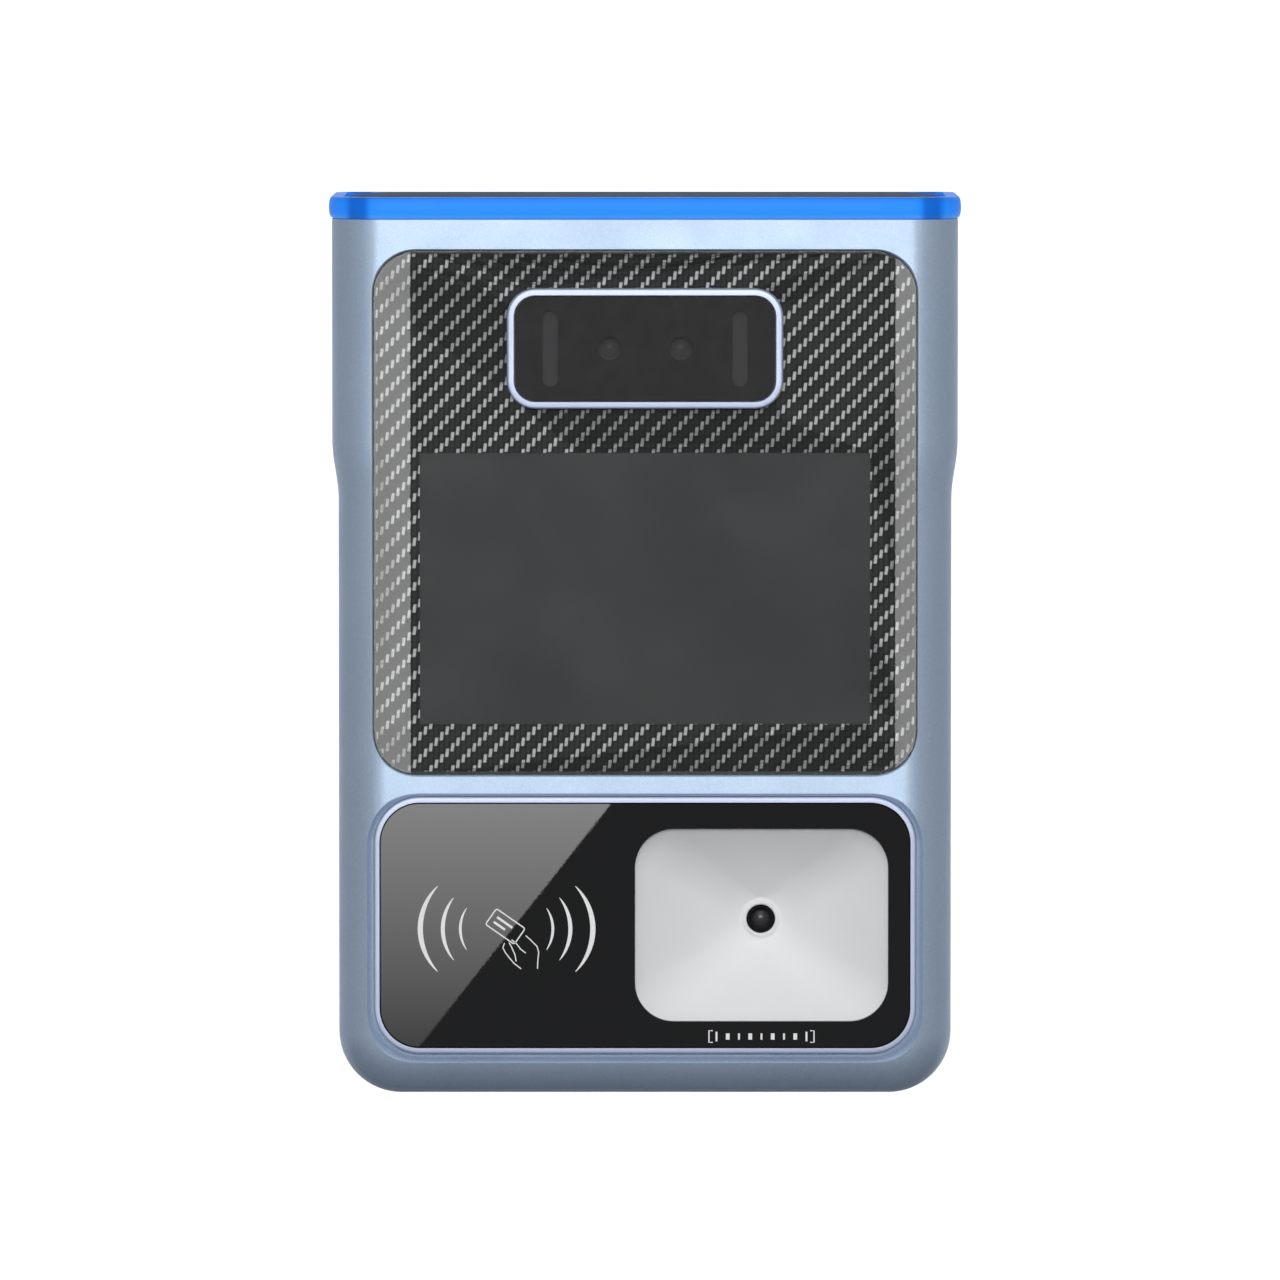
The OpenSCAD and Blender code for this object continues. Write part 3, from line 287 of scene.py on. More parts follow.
@dataclass(frozen=True)
class Finish:
    """A surface with colour drift, grain, uneven gloss and fine relief."""

    name: str
    colour: Rgb
    second: Rgb
    drift: float = 0.5
    cloud: float = 14.0
    fine: float = 0.4
    rough: tuple[float, float] = (0.35, 0.5)
    metallic: float = 0.0
    depth: float = 0.02
    grain: Grain = Grain.EVEN
    specular: float = 0.5

    def paint(self, g: Graph, at: bpy.types.NodeSocket) -> bpy.types.NodeSocket:
        """Gives the colour at a point.

        Args:
            g: The material's graph.
            at: Position in millimetres.

        Returns:
            The colour's socket.
        """
        cloud = g.remap(g.noise(at, self.cloud, 4.0), 0.3, 0.7, 0.0, self.drift)
        speck = g.remap(g.noise(at, self.fine, 1.0), 0.3, 0.75, 0.0, self.drift * 0.6)
        return g.blend(g.sum("ADD", cloud, speck), self.colour, self.second)

    def height(self, g: Graph, at: bpy.types.NodeSocket) -> bpy.types.NodeSocket:
        """Gives the relief at a point."""
        return g.sum("ADD", g.noise(at, self.fine, 2.0), g.sum("MULTIPLY", g.noise(at, self.fine * 5), 0.5))

    def gloss(self, g: Graph, at: bpy.types.NodeSocket) -> bpy.types.NodeSocket:
        """Gives the roughness at a point."""
        return g.remap(g.noise(at, self.cloud * 0.6, 5.0), 0.3, 0.7, *self.rough)

    def shader(self, g: Graph) -> bpy.types.NodeSocket:
        """Builds the shader.

        Args:
            g: The material's graph.

        Returns:
            The shader's socket.
        """
        at = g.place(self.grain.value)
        return g.put("BsdfPrincipled", {
            "Base Color": self.paint(g, at), "Roughness": self.gloss(g, at), "Metallic": self.metallic,
            "Specular IOR Level": self.specular, "Normal": g.relief(self.height(g, at), self.depth),
        }).outputs[0]

    def material(self) -> bpy.types.Material:
        """Builds the material."""
        g = Graph(self.name)
        return g.close(self.shader(g))


@dataclass(frozen=True)
class FlakePaint(Finish):
    """Satin metallic paint: fine flake with painted glints, a trace of orange peel, and patchy painted shade
    low down.
    """

    flake: float = 0.16
    # Near-white colour of the painted glints on the brightest flakes.
    painted_glint: Rgb = (0.9, 0.94, 1.0)
    low: float = -108.0
    low_shade_tall: float = 14.0
    # Dark colour of the darkest flake cells, and of the patchy painted shade low down.
    flake_dark_and_low_shade: Rgb = (0.2, 0.22, 0.25)

    def paint(self, g: Graph, at: bpy.types.NodeSocket) -> bpy.types.NodeSocket:
        """Adds flake with painted glints, and patchy painted shade low down, to the colour."""
        base = super().paint(g, at)
        cell = g.put("TexVoronoi", {"Vector": at, "Scale": 1.0 / self.flake}).outputs["Color"]
        level = g.axes(cell)[0]
        # Painted glint: the brightest flake cells are mixed toward a near-white colour.
        bright = g.blend(g.remap(level, 0.8, 1.0, 0.0, 0.3), base, self.painted_glint)
        deep = g.blend(g.remap(level, 0.2, 0.0, 0.0, 0.16), bright, self.flake_dark_and_low_shade)
        # Painted shade: the case is mixed in patches toward the dark colour, more so near its lowest edge.
        near = g.remap(g.axes(at)[2], self.low, self.low + self.low_shade_tall, 1.0, 0.0, soft=True)
        patch = g.remap(g.noise(at, 3.0, 5.0), 0.55, 0.72, 0.0, 0.1)
        return g.blend(g.sum("MULTIPLY", near, patch), deep, self.flake_dark_and_low_shade)


@dataclass(frozen=True)
class Twill(Finish):
    """Dark woven print: slanted rows of short bright threads."""

    pitch: float = 1.3
    climb: float = 1.33
    repeat: float = 5.33
    lean: float = 0.13
    half: float = 0.37
    length: float = 0.215
    thread: Rgb = (0.45, 0.45, 0.45)

    def dashes(self, g: Graph, shift: float, half: float, length: float) -> bpy.types.NodeSocket:
        """Lays one set of threads.

        Args:
            g: The material's graph.
            shift: Offset up the pattern, as a share of its repeat.
            half: Half width of a thread, as a share of the column.
            length: Half length of a thread, as a share of the repeat.

        Returns:
            1 on a thread and 0 beside it.
        """
        x, _, z = g.axes(g.place())
        across = g.sum("DIVIDE", x, self.pitch)
        column = g.sum("FLOOR", across)
        inside = g.sum("SUBTRACT", across, column)
        up = g.sum("SUBTRACT", z, g.sum("MULTIPLY", column, self.climb))
        along = g.sum("FRACT", g.sum("ADD", g.sum("DIVIDE", up, self.repeat), shift))
        reach = g.sum("SUBTRACT", along, 0.5)
        slant = g.sum("MULTIPLY", reach, self.lean * self.repeat / self.pitch)
        side = g.sum("ABSOLUTE", g.sum("SUBTRACT", g.sum("SUBTRACT", inside, 0.5), slant))
        run = g.sum("ABSOLUTE", reach)
        return g.sum("MULTIPLY", g.remap(side, half, half * 0.55, 0.0, 1.0, soft=True),
                     g.remap(run, length, length * 0.72, 0.0, 1.0, soft=True))

    def paint(self, g: Graph, at: bpy.types.NodeSocket) -> bpy.types.NodeSocket:
        """Draws the threads over the dark ground."""
        ground = super().paint(g, at)
        faint = g.blend(g.sum("MULTIPLY", self.dashes(g, 0.5, 0.42, 0.26), 0.02), ground, self.thread)
        fibre = g.remap(g.noise(g.place((1.0, 1.0, 0.15)), 0.12, 2.0), 0.3, 0.7, 0.55, 1.0)
        lit = g.sum("MULTIPLY", self.height(g, at), fibre)
        return g.blend(lit, faint, self.thread)

    def height(self, g: Graph, at: bpy.types.NodeSocket) -> bpy.types.NodeSocket:
        """Raises the threads."""
        return self.dashes(g, 0.0, self.half, self.length)


@dataclass(frozen=True)
class Panel(Finish):
    """A switched-off display: a faint grid of cells and a soft cloud."""

    cell: float = 0.27

    def paint(self, g: Graph, at: bpy.types.NodeSocket) -> bpy.types.NodeSocket:
        """Draws the cells."""
        base = super().paint(g, at)
        grid = g.put("TexBrick", {"Vector": g.upright(at), "Scale": 1.0, "Mortar Size": self.cell * 0.12,
                                  "Brick Width": self.cell, "Row Height": self.cell}, offset=0.0)
        return g.blend(g.sum("MULTIPLY", grid.outputs["Fac"], 0.18), base, (0.0, 0.0, 0.0))


@dataclass(frozen=True)
class Board(Finish):
    """Solder mask with tracks under it."""

    track: Rgb = (0.1, 0.42, 0.2)
    line: float = 0.16
    wide: float = 5.0
    tall: float = 1.3

    def paint(self, g: Graph, at: bpy.types.NodeSocket) -> bpy.types.NodeSocket:
        """Draws the tracks."""
        base = super().paint(g, at)
        grid = g.put("TexBrick", {"Vector": g.upright(at), "Scale": 1.0, "Mortar Size": self.line,
                                  "Brick Width": self.wide, "Row Height": self.tall}).outputs["Fac"]
        return g.blend(g.sum("MULTIPLY", grid, 0.6), base, self.track)


@dataclass(frozen=True)
class Guide(Finish):
    """Tinted acrylic lit from inside: brighter low down and in its middle, with painted shade at its bottom
    edge and where it turns its corners.
    """

    z0: float = 0.0
    z1: float = 5.4
    half: float = 76.0
    fold: float = 7.2
    fold_half: tuple[float, float] = (1.2, 3.6)
    # How far the corners are mixed toward the shade colour, as painted shade.
    fold_shade: float = 0.72
    shade: Rgb = (0.0, 0.07, 0.42)
    glow: float = 0.4
    stops: tuple = ()

    def shader(self, g: Graph) -> bpy.types.NodeSocket:
        """Builds the glowing shader."""
        at = g.place()
        x, _, z = g.axes(at)
        ramp = g.put("ValToRGB", {0: g.remap(z, self.z0, self.z1, 0.0, 1.0)})
        bar = ramp.color_ramp
        while len(bar.elements) > 1:
            bar.elements.remove(bar.elements[0])
        for i, (place, colour) in enumerate(self.stops):
            stop = bar.elements[0] if i == 0 else bar.elements.new(place)
            stop.position = place
            stop.color = (*colour, 1.0)
        drift = g.remap(g.noise(at, self.cloud, 3.0), 0.3, 0.7, 0.0, self.drift)
        even = g.blend(drift, ramp.outputs[0], self.second)
        # Painted shade: the guide is mixed toward the shade colour where its plan turns the corners.
        off = g.sum("ABSOLUTE", g.sum("SUBTRACT", g.sum("ABSOLUTE", x), self.half - self.fold))
        dark = g.remap(off, *self.fold_half, self.fold_shade, 0.0, soft=True)
        colour = g.blend(dark, even, self.shade)
        return g.put("BsdfPrincipled", {
            "Base Color": colour, "Roughness": self.gloss(g, at), "Emission Color": colour,
            "Emission Strength": self.glow, "Specular IOR Level": self.specular,
            "Normal": g.relief(self.height(g, at), self.depth)}).outputs[0]


@dataclass(frozen=True)
class Clear(Finish):
    """Clear glass: what is behind it, and a sharp reflection with faint finger marks."""

    def shader(self, g: Graph) -> bpy.types.NodeSocket:
        """Builds the see-through shader."""
        at = g.place()
        seen = g.put("BsdfTransparent", {"Color": self.colour}).outputs[0]
        shine = g.put("BsdfGlossy", {"Color": WHITE, "Roughness": self.gloss(g, at)}).outputs[0]
        edge = g.put("Fresnel", {"IOR": 1.5}).outputs[0]
        outer = g.sum("SUBTRACT", 1.0, g.put("NewGeometry").outputs["Backfacing"])
        return g.put("MixShader", {0: g.sum("MULTIPLY", edge, outer), 1: seen, 2: shine}).outputs[0]


@dataclass(frozen=True)
class Smoked(Finish):
    """Smoked glass: mostly dark, with what is behind it just visible."""

    cover: float = 0.5
    clear: Rgb = (0.95, 0.95, 0.95)

    def shader(self, g: Graph) -> bpy.types.NodeSocket:
        """Builds the part-transparent shader."""
        dark = super().shader(g)
        seen = g.put("BsdfTransparent", {"Color": self.clear}).outputs[0]
        return g.put("MixShader", {0: self.cover, 1: seen, 2: dark}).outputs[0]


class FinishBook:
    """Every finish of the terminal by the record's slot."""

    def __init__(self) -> None:
        """Lists the finishes."""
        guide = Span.of("light_guide")
        soft = dict(drift=0.5, cloud=9.0, fine=0.35)
        self.finishes: dict[str, Finish] = {
            "housing": FlakePaint("housing_paint", tone(0.74, 0.815, 0.90), tone(0.70, 0.78, 0.875),
                                  cloud=26, fine=0.7, rough=(0.47, 0.54), metallic=0.6, depth=0.006,
                                  specular=0.25, low=Span.of("front_housing").z0),
            "trim": Finish("satin_trim", tone(0.74, 0.78, 0.87), tone(0.70, 0.74, 0.84), fine=0.25,
                           rough=(0.34, 0.44), metallic=0.35, depth=0.004, grain=Grain.ALONG_X),
            "light_guide": Guide("lit_acrylic", tone(0.2, 0.6, 0.98), tone(0.15, 0.5, 0.92), drift=0.25,
                                 cloud=18, rough=(0.42, 0.52), depth=0.003, z0=guide.z0,
                                 z1=guide.z1, half=guide.x1, glow=0.46, specular=0.15, stops=(
                                     # The first stop darkens the guide's bottom edge, where it meets the
                                     # case: painted shade in the joint.
                                     (0.0, tone(0.02, 0.22, 0.45)), (0.06, tone(0.30, 0.62, 0.97)),
                                     (0.25, tone(0.14, 0.53, 0.97)), (0.7, tone(0.12, 0.51, 0.95)),
                                     (1.0, tone(0.14, 0.44, 0.80)))),
            "cap": Finish("slate_cap", tone(0.34, 0.40, 0.45), tone(0.29, 0.35, 0.41), fine=0.5,
                          rough=(0.75, 0.9), depth=0.01, cloud=20, specular=0.1),
            "cover_glass": Clear("clear_glass", (0.94, 0.95, 0.95), (0.9, 0.9, 0.9), rough=(0.0, 0.008)),
            "print_film": Twill("woven_print", tone(0.075, 0.06, 0.06), tone(0.03, 0.025, 0.025),
                                thread=tone(0.92, 0.92, 0.91), rough=(0.5, 0.65), depth=0.008,
                                specular=0.2),
            "display": Panel("dark_display", grey(0.135), tone(0.13, 0.13, 0.132), cloud=40,
                             rough=(0.5, 0.6), depth=0.0002),
            "smoked_window": Smoked("smoked_glass", grey(0.215), grey(0.205),
                                    rough=(0.04, 0.09), depth=0.0005, cloud=20, cover=0.45),
            "reader_glass": Finish("black_glass", tone(0.06, 0.06, 0.065), tone(0.05, 0.05, 0.055),
                                   cloud=30, rough=(0.0, 0.012), depth=0.0002, specular=0.5),
            "funnel": Finish("funnel_plastic", grey(0.965), grey(0.945),
                             cloud=12, fine=0.3, rough=(0.5, 0.62), depth=0.012),
            "lens": Finish("coated_lens", tone(0.22, 0.22, 0.23), tone(0.19, 0.19, 0.21), cloud=3,
                           rough=(0.25, 0.35), depth=0.0005, specular=0.35),
            "barrel_black": Finish("barrel_black", grey(0.03), grey(0.02),
                                   rough=(0.5, 0.7), depth=0.01, specular=0.15),
            "camera_coating": Finish("camera_coating", tone(0.90, 0.90, 0.91), tone(0.86, 0.86, 0.88),
                                     cloud=2, rough=(0.15, 0.3), depth=0.0005),
            "window_mask": Finish("window_mask", grey(0.10), grey(0.09),
                                  cloud=6, rough=(0.5, 0.6), depth=0.002),
            "diffuser": Finish("frosted_bar", tone(0.80, 0.80, 0.81), tone(0.74, 0.74, 0.76), cloud=4,
                               rough=(0.5, 0.7), depth=0.02, fine=0.2),
            "black_plastic": Finish("black_moulding", tone(0.13, 0.13, 0.135), tone(0.09, 0.09, 0.095),
                                    rough=(0.45, 0.65), depth=0.02, **soft),
            "circuit_board": Board("solder_mask", tone(0.05, 0.33, 0.16), tone(0.04, 0.26, 0.13),
                                   rough=(0.25, 0.4), depth=0.01, cloud=10),
            "steel": Finish("zinc_steel", tone(0.78, 0.79, 0.80), tone(0.62, 0.63, 0.62), cloud=3,
                            fine=0.15, rough=(0.22, 0.42), metallic=1.0, depth=0.006),
            "sheet_metal": Finish("tin_sheet", tone(0.80, 0.81, 0.82), tone(0.66, 0.67, 0.68), cloud=8,
                                  rough=(0.22, 0.45), metallic=1.0, depth=0.004, grain=Grain.ALONG_X),
            "lock_metal": Finish("lock_chrome", tone(0.88, 0.88, 0.89), tone(0.70, 0.71, 0.72), cloud=3,
                                 fine=0.2, rough=(0.08, 0.22), metallic=1.0, depth=0.003),
            "brass": Finish("turned_brass", tone(0.88, 0.74, 0.42), tone(0.72, 0.58, 0.30), cloud=2,
                            fine=0.15, rough=(0.2, 0.4), metallic=1.0, depth=0.005),
            "copper": Finish("bare_copper", tone(0.86, 0.56, 0.38), tone(0.66, 0.38, 0.24), cloud=5,
                             rough=(0.25, 0.45), metallic=1.0, depth=0.005),
            "heat_sink": Finish("extruded_sink", tone(0.72, 0.73, 0.75), tone(0.6, 0.61, 0.63), cloud=8,
                                rough=(0.3, 0.5), metallic=1.0, depth=0.01, grain=Grain.ALONG_Z),
            "seal_rubber": Finish("silicone_rubber", grey(0.16), grey(0.12),
                                  rough=(0.65, 0.85), depth=0.02, **soft),
            "battery_wrap": Finish("shrink_wrap", tone(0.20, 0.34, 0.62), tone(0.15, 0.27, 0.52),
                                   cloud=12, rough=(0.2, 0.4), depth=0.04, fine=2.5),
            "plate": Finish("brushed_plate", tone(0.84, 0.85, 0.86), tone(0.72, 0.73, 0.75), cloud=12,
                            fine=0.2, rough=(0.25, 0.4), metallic=0.9, depth=0.006, grain=Grain.ALONG_X),
            "green_plastic": Finish("green_moulding", tone(0.12, 0.62, 0.32), tone(0.08, 0.5, 0.26),
                                    rough=(0.25, 0.4), depth=0.01, **soft),
            "red_plastic": Finish("red_moulding", tone(0.80, 0.16, 0.12), tone(0.66, 0.10, 0.08),
                                  rough=(0.25, 0.4), depth=0.01, **soft),
            "mark": Finish("white_print", grey(1.0), grey(0.96), fine=0.15,
                           rough=(0.4, 0.55), depth=0.004),
        }
        self.made: dict[str, bpy.types.Material] = {}

    def get(self, slot: str) -> bpy.types.Material:
        """Gives a slot's material, made once.

        Args:
            slot: The finish's slot.

        Returns:
            The material.
        """
        if slot not in self.made:
            self.made[slot] = self.finishes[slot].material()
        return self.made[slot]


# ---------------------------------------------------------------- shapes


def quarter(turns: int) -> list[float]:
    """Gives the angles of a quarter turn in radians, in even steps with both ends included."""
    return [math.pi / 2 * i / turns for i in range(turns + 1)]


def swing(steps: int) -> list[float]:
    """Gives even places from -1 to 1, both ends included."""
    return [2 * i / steps - 1 for i in range(steps + 1)]


def dome(radius: float, front: float, rise: float) -> Profile:
    """Lays out a shallow lens face from its rim to its middle.

    Args:
        radius: Radius of the rim.
        front: Depth of the middle.
        rise: How far the rim lies behind the middle.

    Returns:
        Radius and depth of each row.
    """
    return [(max(radius * (1 - i / 8), POLE), front + rise * (1 - i / 8) ** 2) for i in range(1, 9)]


def round_rect(wide: float, tall: float, radius: float, x: float = 0.0, z: float = 0.0,
               steps: int = 12) -> list[Spot]:
    """Lays out a rectangle with round corners.

    Args:
        wide: Width.
        tall: Height.
        radius: Corner radius.
        x: Middle along X.
        z: Middle along Z.
        steps: Steps in each corner.

    Returns:
        Points with the direction that leads inwards.
    """
    spots = []
    for n, (sx, sz) in enumerate(((1, 1), (-1, 1), (-1, -1), (1, -1))):
        for a in quarter(steps):
            dx, dz = math.cos(a + n * math.pi / 2), math.sin(a + n * math.pi / 2)
            spots.append((x + sx * (wide / 2 - radius) + radius * dx,
                          z + sz * (tall / 2 - radius) + radius * dz, -dx, -dz))
    return spots


class Solid:
    """A mesh under construction, in millimetres of the frame."""

    def __init__(self) -> None:
        """Starts with nothing."""
        self.bm = bmesh.new()

    def ring(self, points: list[tuple[float, float, float]]) -> list[bmesh.types.BMVert]:
        """Adds one closed row of vertices at some points."""
        return [self.bm.verts.new(Vector(p) * MM) for p in points]

    def bridge(self, a: list, b: list) -> None:
        """Joins two rows of the same length with quads.

        Args:
            a: First row.
            b: Second row.
        """
        for i, vert in enumerate(a):
            j = (i + 1) % len(a)
            self.bm.faces.new((vert, a[j], b[j], b[i]))

    def join(self, rows: list[list]) -> list[list]:
        """Joins each row to the next, and gives the rows back."""
        for a, b in zip(rows, rows[1:]):
            self.bridge(a, b)
        return rows

    def close(self, rows: list[list], hollow: bool = False) -> "Solid":
        """Joins rows into a closed skin.

        Args:
            rows: Rows of the same length.
            hollow: Join the last row to the first, in place of a lid at each end.

        Returns:
            This solid.
        """
        self.join(rows)
        if hollow:
            self.bridge(rows[-1], rows[0])
        else:
            self.bm.faces.new(rows[0])
            self.bm.faces.new(rows[-1])
        return self

    def sweep(self, spots: list[Spot], profile: Profile, hollow: bool = False) -> "Solid":
        """Carries a profile round an outline.

        Args:
            spots: The outline.
            profile: Inset and depth of each row.
            hollow: Make a ring, in place of a plate.

        Returns:
            This solid.
        """
        return self.close([self.ring([(x + dx * inset, y, z + dz * inset) for x, z, dx, dz in spots])
                           for inset, y in profile], hollow)

    def block(self, spots: list[Spot], back: float, front: float) -> "Solid":
        """Adds a plain slab over an outline, between two depths."""
        return self.sweep(spots, [(0.0, back), (0.0, front)])

    def turned(self, profile: Profile, x: float, z: float, turn: Turn = Turn.DEPTH,
               steps: int = 48) -> "Solid":
        """Turns a profile of radius and depth about an axis and closes its ends.

        Args:
            profile: Radius and place along the axis of each row.
            x: The axis along X.
            z: The axis along Z, or along Y for an upright one.
            turn: Which way the axis runs.
            steps: Steps round.

        Returns:
            This solid.
        """
        spin = [2 * math.pi * i / steps for i in range(steps)]
        rows = []
        for radius, along in profile:
            spots = [(x + radius * math.cos(a), z + radius * math.sin(a)) for a in spin]
            rows.append(self.ring([(u, along, v) if turn is Turn.DEPTH else (u, v, along) for u, v in spots]))
        return self.close(rows)

    def mesh(self, name: str) -> bpy.types.Mesh:
        """Turns the solid into a mesh.

        Args:
            name: The mesh's name.

        Returns:
            The mesh.
        """
        bmesh.ops.recalc_face_normals(self.bm, faces=self.bm.faces)
        mesh = bpy.data.meshes.new(name)
        self.bm.to_mesh(mesh)
        self.bm.free()
        return mesh


def linked(name: str, data: bpy.types.ID) -> bpy.types.Object:
    """Puts a mesh, a lamp or a camera into the scene.

    Args:
        name: The object's name.
        data: What it shows.

    Returns:
        The object.
    """
    made = bpy.data.objects.new(name, data)
    bpy.context.scene.collection.objects.link(made)
    return made


def even_shading(piece: bpy.types.Object) -> None:
    """Keeps the large flat faces of a piece evenly shaded, up to their rounded edges."""
    weigh = piece.modifiers.new("even_shading", "WEIGHTED_NORMAL")
    weigh.mode, weigh.weight, weigh.keep_sharp = "FACE_AREA", 80, True


def carved(name: str, body: Solid, cutters: list[Solid]) -> bpy.types.Mesh:
    """Cuts solids out of a body.

    Args:
        name: Name of the result.
        body: What is cut.
        cutters: What is taken away.

    Returns:
        The carved mesh.
    """
    whole = linked(name, body.mesh(name))
    tools = [linked(f"{name}_cut", c.mesh(f"{name}_cut")) for c in cutters]
    for tool in tools:
        cut = whole.modifiers.new("cut", "BOOLEAN")
        cut.operation, cut.solver, cut.object = "DIFFERENCE", "EXACT", tool
    bpy.context.view_layer.update()
    result = bpy.data.meshes.new_from_object(whole.evaluated_get(bpy.context.evaluated_depsgraph_get()))
    result.name = name
    for tool in tools + [whole]:
        bpy.data.objects.remove(tool)
    return result


def eye_cutter(spots: list[Spot], glass: Span) -> Solid:
    """Builds the cutter of a glass's opening, with a broken front edge.

    Args:
        spots: The opening's outline.
        glass: Extent of the glass.

    Returns:
        The solid.
    """
    return Solid().sweep(spots, [(0.0, glass.y1 + PAST), (0.0, glass.y0 + BEVEL), (-BEVEL, glass.y0),
                                 (-BEVEL, glass.y0 - PAST)])


def crease(mesh: bpy.types.Mesh, degrees: float) -> None:
    """Shades a mesh smooth, apart from edges sharper than an angle.

    Args:
        mesh: The mesh.
        degrees: The angle.
    """
    bm = bmesh.new()
    bm.from_mesh(mesh)
    for face in bm.faces:
        face.smooth = True
    for edge in bm.edges:
        edge.smooth = edge.calc_face_angle(0.0) < math.radians(degrees)
    bm.to_mesh(mesh)
    bm.free()


@dataclass
class Assembly:
    """A group of pieces that belong together."""

    book: FinishBook
    body: str = "terminal"
    pieces: list[str] = field(default_factory=list)

    def add(self, name: str, shape: Solid | bpy.types.Mesh, slot: str, stands_for: tuple = (),
            degrees: float = 32.0, even: bool = False) -> bpy.types.Object:
        """Finishes a piece, and lets it ride on the assembly's body.

        Args:
            name: The piece's name.
            shape: Its mesh, or the solid that it comes from.
            slot: The finish's slot.
            stands_for: CAD nodes that it replaces.
            degrees: Edges sharper than this stay sharp.
            even: Keep large flat faces evenly shaded.

        Returns:
            The piece.
        """
        mesh = shape.mesh(name) if isinstance(shape, Solid) else shape
        crease(mesh, degrees)
        piece = linked(name, mesh)
        mesh.materials.clear()
        mesh.materials.append(self.book.get(slot))
        if even:
            even_shading(piece)
        if stands_for:
            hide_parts(*stands_for)
        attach(piece, self.body)
        self.pieces.append(name)
        log.info("%s: %s, %d faces, finish %s", type(self).__name__, name, len(mesh.polygons), slot)
        return piece


# ---------------------------------------------------------------- the terminal


